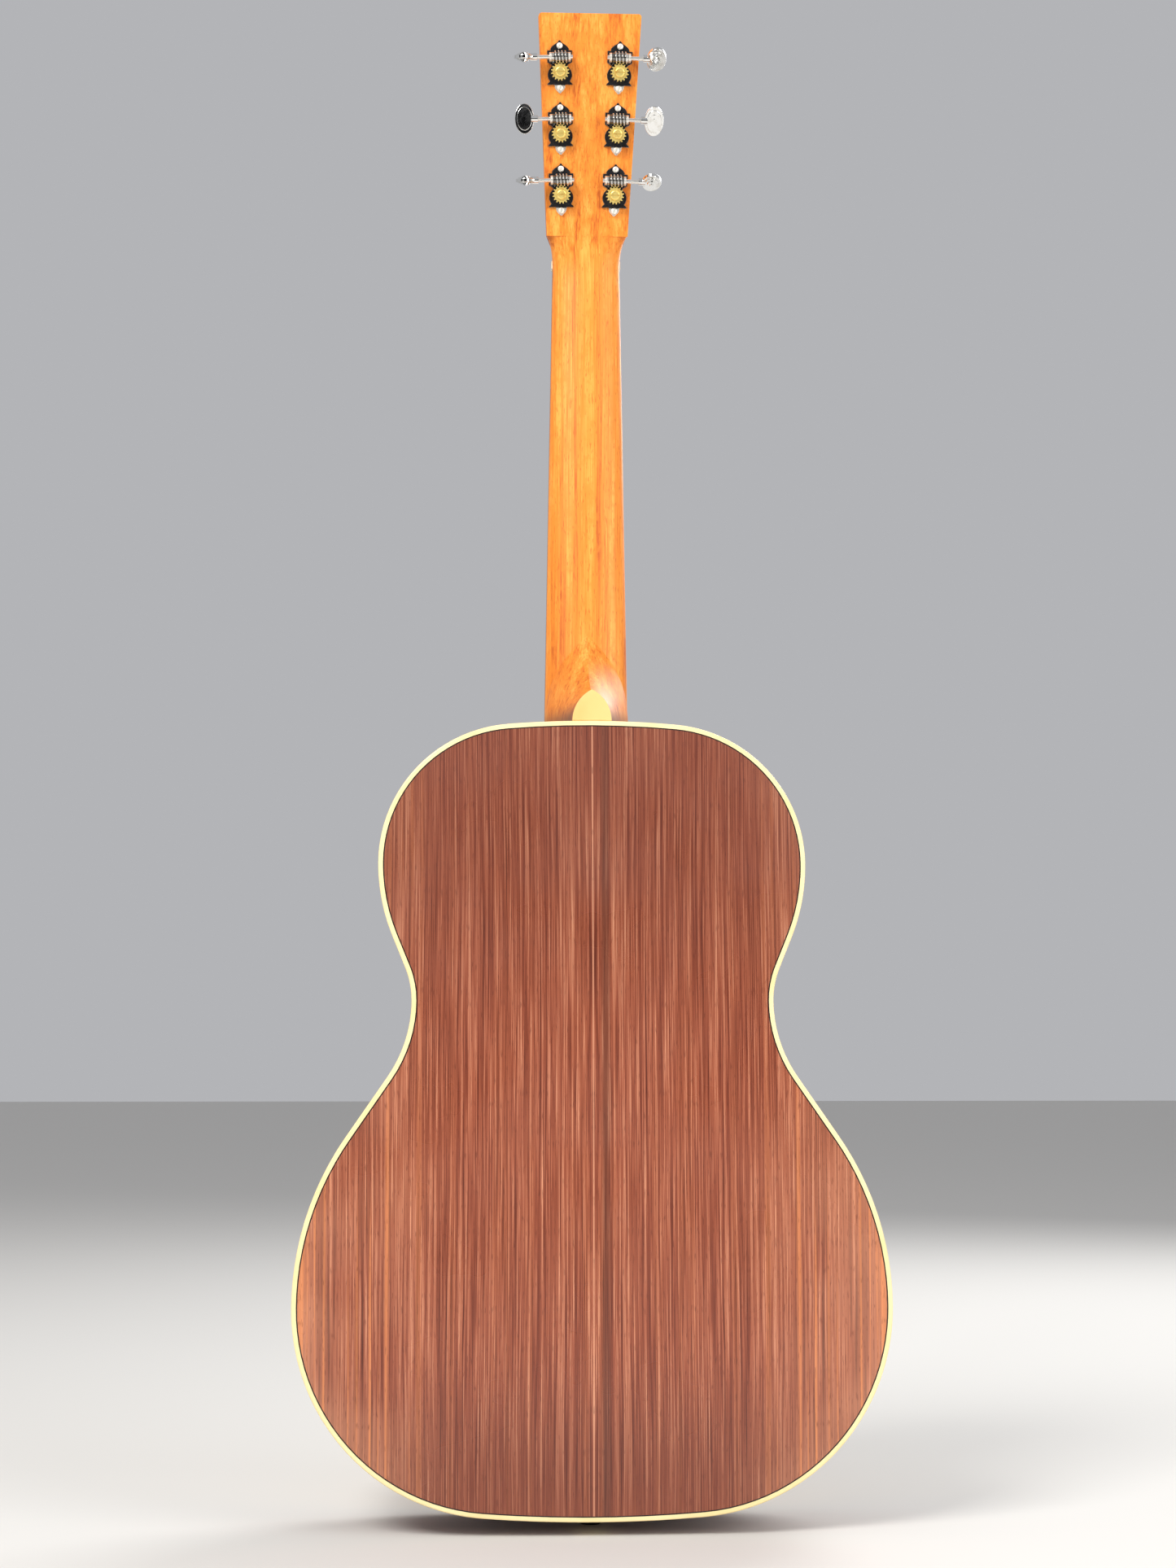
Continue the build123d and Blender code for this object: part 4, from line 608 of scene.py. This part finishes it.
def string_turns_tree():
    """A string's turns up a post and the cut end through the post's hole."""
    tree, sizes = tree_for(
        "string_turns", ("Turns", "Turn radius", "Wire radius", "Climb", "Hole rise", "End"))
    helix = node(tree, "GeometryNodeCurveSpiral", {
        "Resolution": 30, "Rotations": sizes["Turns"], "Start Radius": sizes["Turn radius"],
        "End Radius": sizes["Turn radius"], "Height": sizes["Climb"]})
    start = joined(tree, 0.0, reckon(tree, "MULTIPLY", sizes["End"], -1.0), sizes["Hole rise"])
    end = joined(tree, 0.0, sizes["End"], sizes["Hole rise"])
    through = node(tree, "GeometryNodeCurvePrimitiveLine", {"Start": start, "End": end})
    routes = tree.nodes.new("GeometryNodeJoinGeometry")
    for route in (helix, through):
        tree.links.new(route.outputs["Curve"], routes.inputs["Geometry"])
    section = node(tree, "GeometryNodeCurvePrimitiveCircle", {
        "Resolution": 12, "Radius": sizes["Wire radius"]})
    tube = node(tree, "GeometryNodeCurveToMesh", {
        "Curve": routes.outputs["Geometry"], "Profile Curve": section.outputs["Curve"],
        "Fill Caps": True})
    close_tree(tree, tube.outputs["Mesh"], sizes["Finish"])
    return tree


POST_R = 3.0 * MM
POST_HOLE_RISE = 9.0 * MM
STRING_END = POST_R + 2.2 * MM
HEADSTOCK_DEPTH = 17.0 * MM
TURN_GAP = 0.06 * MM
WOUND_FROM_WIRE = 0.5
# each string's wire and the height of its first turn over the headstock, both in millimetres,
# and how many further turns it makes
STRING_WIRES = {
    "bass_low": (1.35, 3.6, 2.5),
    "bass_middle": (1.07, 4.8, 2.5),
    "bass_high": (0.81, 5.8, 2.5),
    "treble_high": (0.61, 5.8, 3.5),
    "treble_middle": (0.41, 4.8, 5.5),
    "treble_low": (0.30, 3.6, 7.5),
}
turns = string_turns_tree()
for post, (wire, rise, count) in STRING_WIRES.items():
    joint = joints[f"post_{post}_turn"]
    out = -Vector(joint["axis"])
    foot = Vector(joint["pos_m"]) + out * HEADSTOCK_DEPTH
    first_turn = (rise + wire) * MM + TURN_GAP
    finish = "bronze_strings" if wire > WOUND_FROM_WIRE else "steel_strings"
    across = Vector((-1.0 if post.startswith("treble") else 1.0, 0.0, 0.0))
    lay = Matrix((across, out.cross(across), out)).transposed().to_4x4()
    lay.translation = foot + out * first_turn
    values = {
        "Turns": count,
        "Turn radius": POST_R + wire * MM / 2 + TURN_GAP / 2,
        "Wire radius": wire * MM / 2,
        "Climb": POST_HOLE_RISE - first_turn - wire * MM / 2,
        "Hole rise": POST_HOLE_RISE - first_turn,
        "End": STRING_END,
        "Finish": materials[finish],
    }
    piece = made_plain(f"string_turns_{post}", turns, values, lay)
    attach(piece, f"post_{post}")


def side_markers_tree():
    """Small discs let into the fingerboard's edge, one on each point."""
    tree, sizes = tree_for("side_markers", ("Radius", "Proud"))
    depth = reckon(tree, "MULTIPLY", sizes["Proud"], 2.0)
    disc = node(tree, "GeometryNodeMeshCylinder", {
        "Vertices": 24, "Radius": sizes["Radius"], "Depth": depth})
    discs = node(tree, "GeometryNodeInstanceOnPoints", {
        "Points": sizes["Geometry"], "Instance": disc.outputs["Mesh"], "Rotation": (0.0, pi / 2, 0.0)})
    close_tree(tree, discs.outputs["Instances"], sizes["Finish"])
    return tree


SCALE_LENGTH = 645.2 * MM
NUT_HALF = 23.0 * MM
# how much wider half the board gets, for its length from the nut
BOARD_TAPER = 5.25 / 322.6
BOARD_MIDDLE = 2.6 * MM
marker_points = []
for fret in (3, 5, 7, 9, 12, 15):
    below, above = (SCALE_LENGTH * (1 - 2 ** (-number / 12)) for number in (fret, fret - 1))
    for share in ((0.35, 0.65) if fret == 12 else (0.5,)):
        down = above + (below - above) * share
        edge_x = -NUT_HALF - BOARD_TAPER * down
        marker_points.append((edge_x, SOUNDBOARD_Y - BOARD_MIDDLE, NUT_FACE_Z - down))
marker_values = {"Radius": 1.0 * MM, "Proud": 0.12 * MM, "Finish": materials["pearl"]}
markers = made_plain(
    "side_markers", side_markers_tree(), marker_values, Matrix.Identity(4), marker_points)
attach(markers, "guitar")

# ---------------------------------------------------------------- floor and light
FLOOR_REACH = 14.0
floor_mesh = bpy.data.meshes.new("floor")
floor_z = cad_box[0][2]
ways = ((-1, -1), (1, -1), (1, 1), (-1, 1))
corners = [(x * FLOOR_REACH, y * FLOOR_REACH, floor_z) for x, y in ways]
floor_mesh.from_pydata(corners, [], [(0, 1, 2, 3)])
floor = bpy.data.objects.new("floor", floor_mesh)
bpy.context.scene.collection.objects.link(floor)
floor_paint, floor_tree, floor_shader = finish_named("floor_paint")
floor_shader.inputs["Base Color"].default_value = paint(214, 212, 208)
floor_shader.inputs["Roughness"].default_value = 0.8
floor_mesh.materials.append(floor_paint)


def soft_light(name, spot, target, width, power, colour=(1.0, 1.0, 1.0)):
    """A large square lamp that faces a point."""
    data = bpy.data.lights.new(name, "AREA")
    data.size = width
    data.energy = power
    data.color = colour
    lamp = bpy.data.objects.new(name, data)
    lamp.location = spot
    lamp.rotation_euler = (Vector(target) - Vector(spot)).to_track_quat("-Z", "Y").to_euler()
    bpy.context.scene.collection.objects.link(lamp)


def black_flag(name, corners):
    """A dark board that only reflections see; it casts no shadow."""
    mesh = bpy.data.meshes.new(name)
    mesh.from_pydata(corners, [], [(0, 1, 2, 3)])
    material, tree, shader = finish_named(name)
    shader.inputs["Base Color"].default_value = paint(14, 14, 15)
    shader.inputs["Roughness"].default_value = 1.0
    shader.inputs["Specular IOR Level"].default_value = 0.0
    mesh.materials.append(material)
    board = bpy.data.objects.new(name, mesh)
    bpy.context.scene.collection.objects.link(board)
    board.visible_camera = False
    board.visible_diffuse = False
    board.visible_shadow = False


black_flag("flag_behind_camera", [(-1.3, 2.6, 0.0), (1.3, 2.6, 0.0), (1.3, 2.6, 1.1), (-1.3, 2.6, 1.1)])
for side, reach in (("left", 1.5), ("right", -1.5)):
    black_flag(f"flag_{side}", [
        (reach, 0.3, 0.5), (reach, 0.8, 0.5), (reach, 0.8, 1.7), (reach, 0.3, 1.7)])
middle = Vector((0.0, 0.0, 0.45))
soft_light("key_light", (1.2, 1.6, 2.0), middle, 1.0, 60.0, (1.0, 0.98, 0.95))
soft_light("fill_light", (-1.6, 1.4, 1.0), middle, 1.4, 26.0)
soft_light("front_light", (-1.2, -1.8, 1.8), middle, 1.4, 40.0)
world = bpy.data.worlds.new("studio")
world.use_nodes = True
world.node_tree.nodes["Background"].inputs["Color"].default_value = paint(225, 226, 230)
world.node_tree.nodes["Background"].inputs["Strength"].default_value = 0.6
bpy.context.scene.world = world
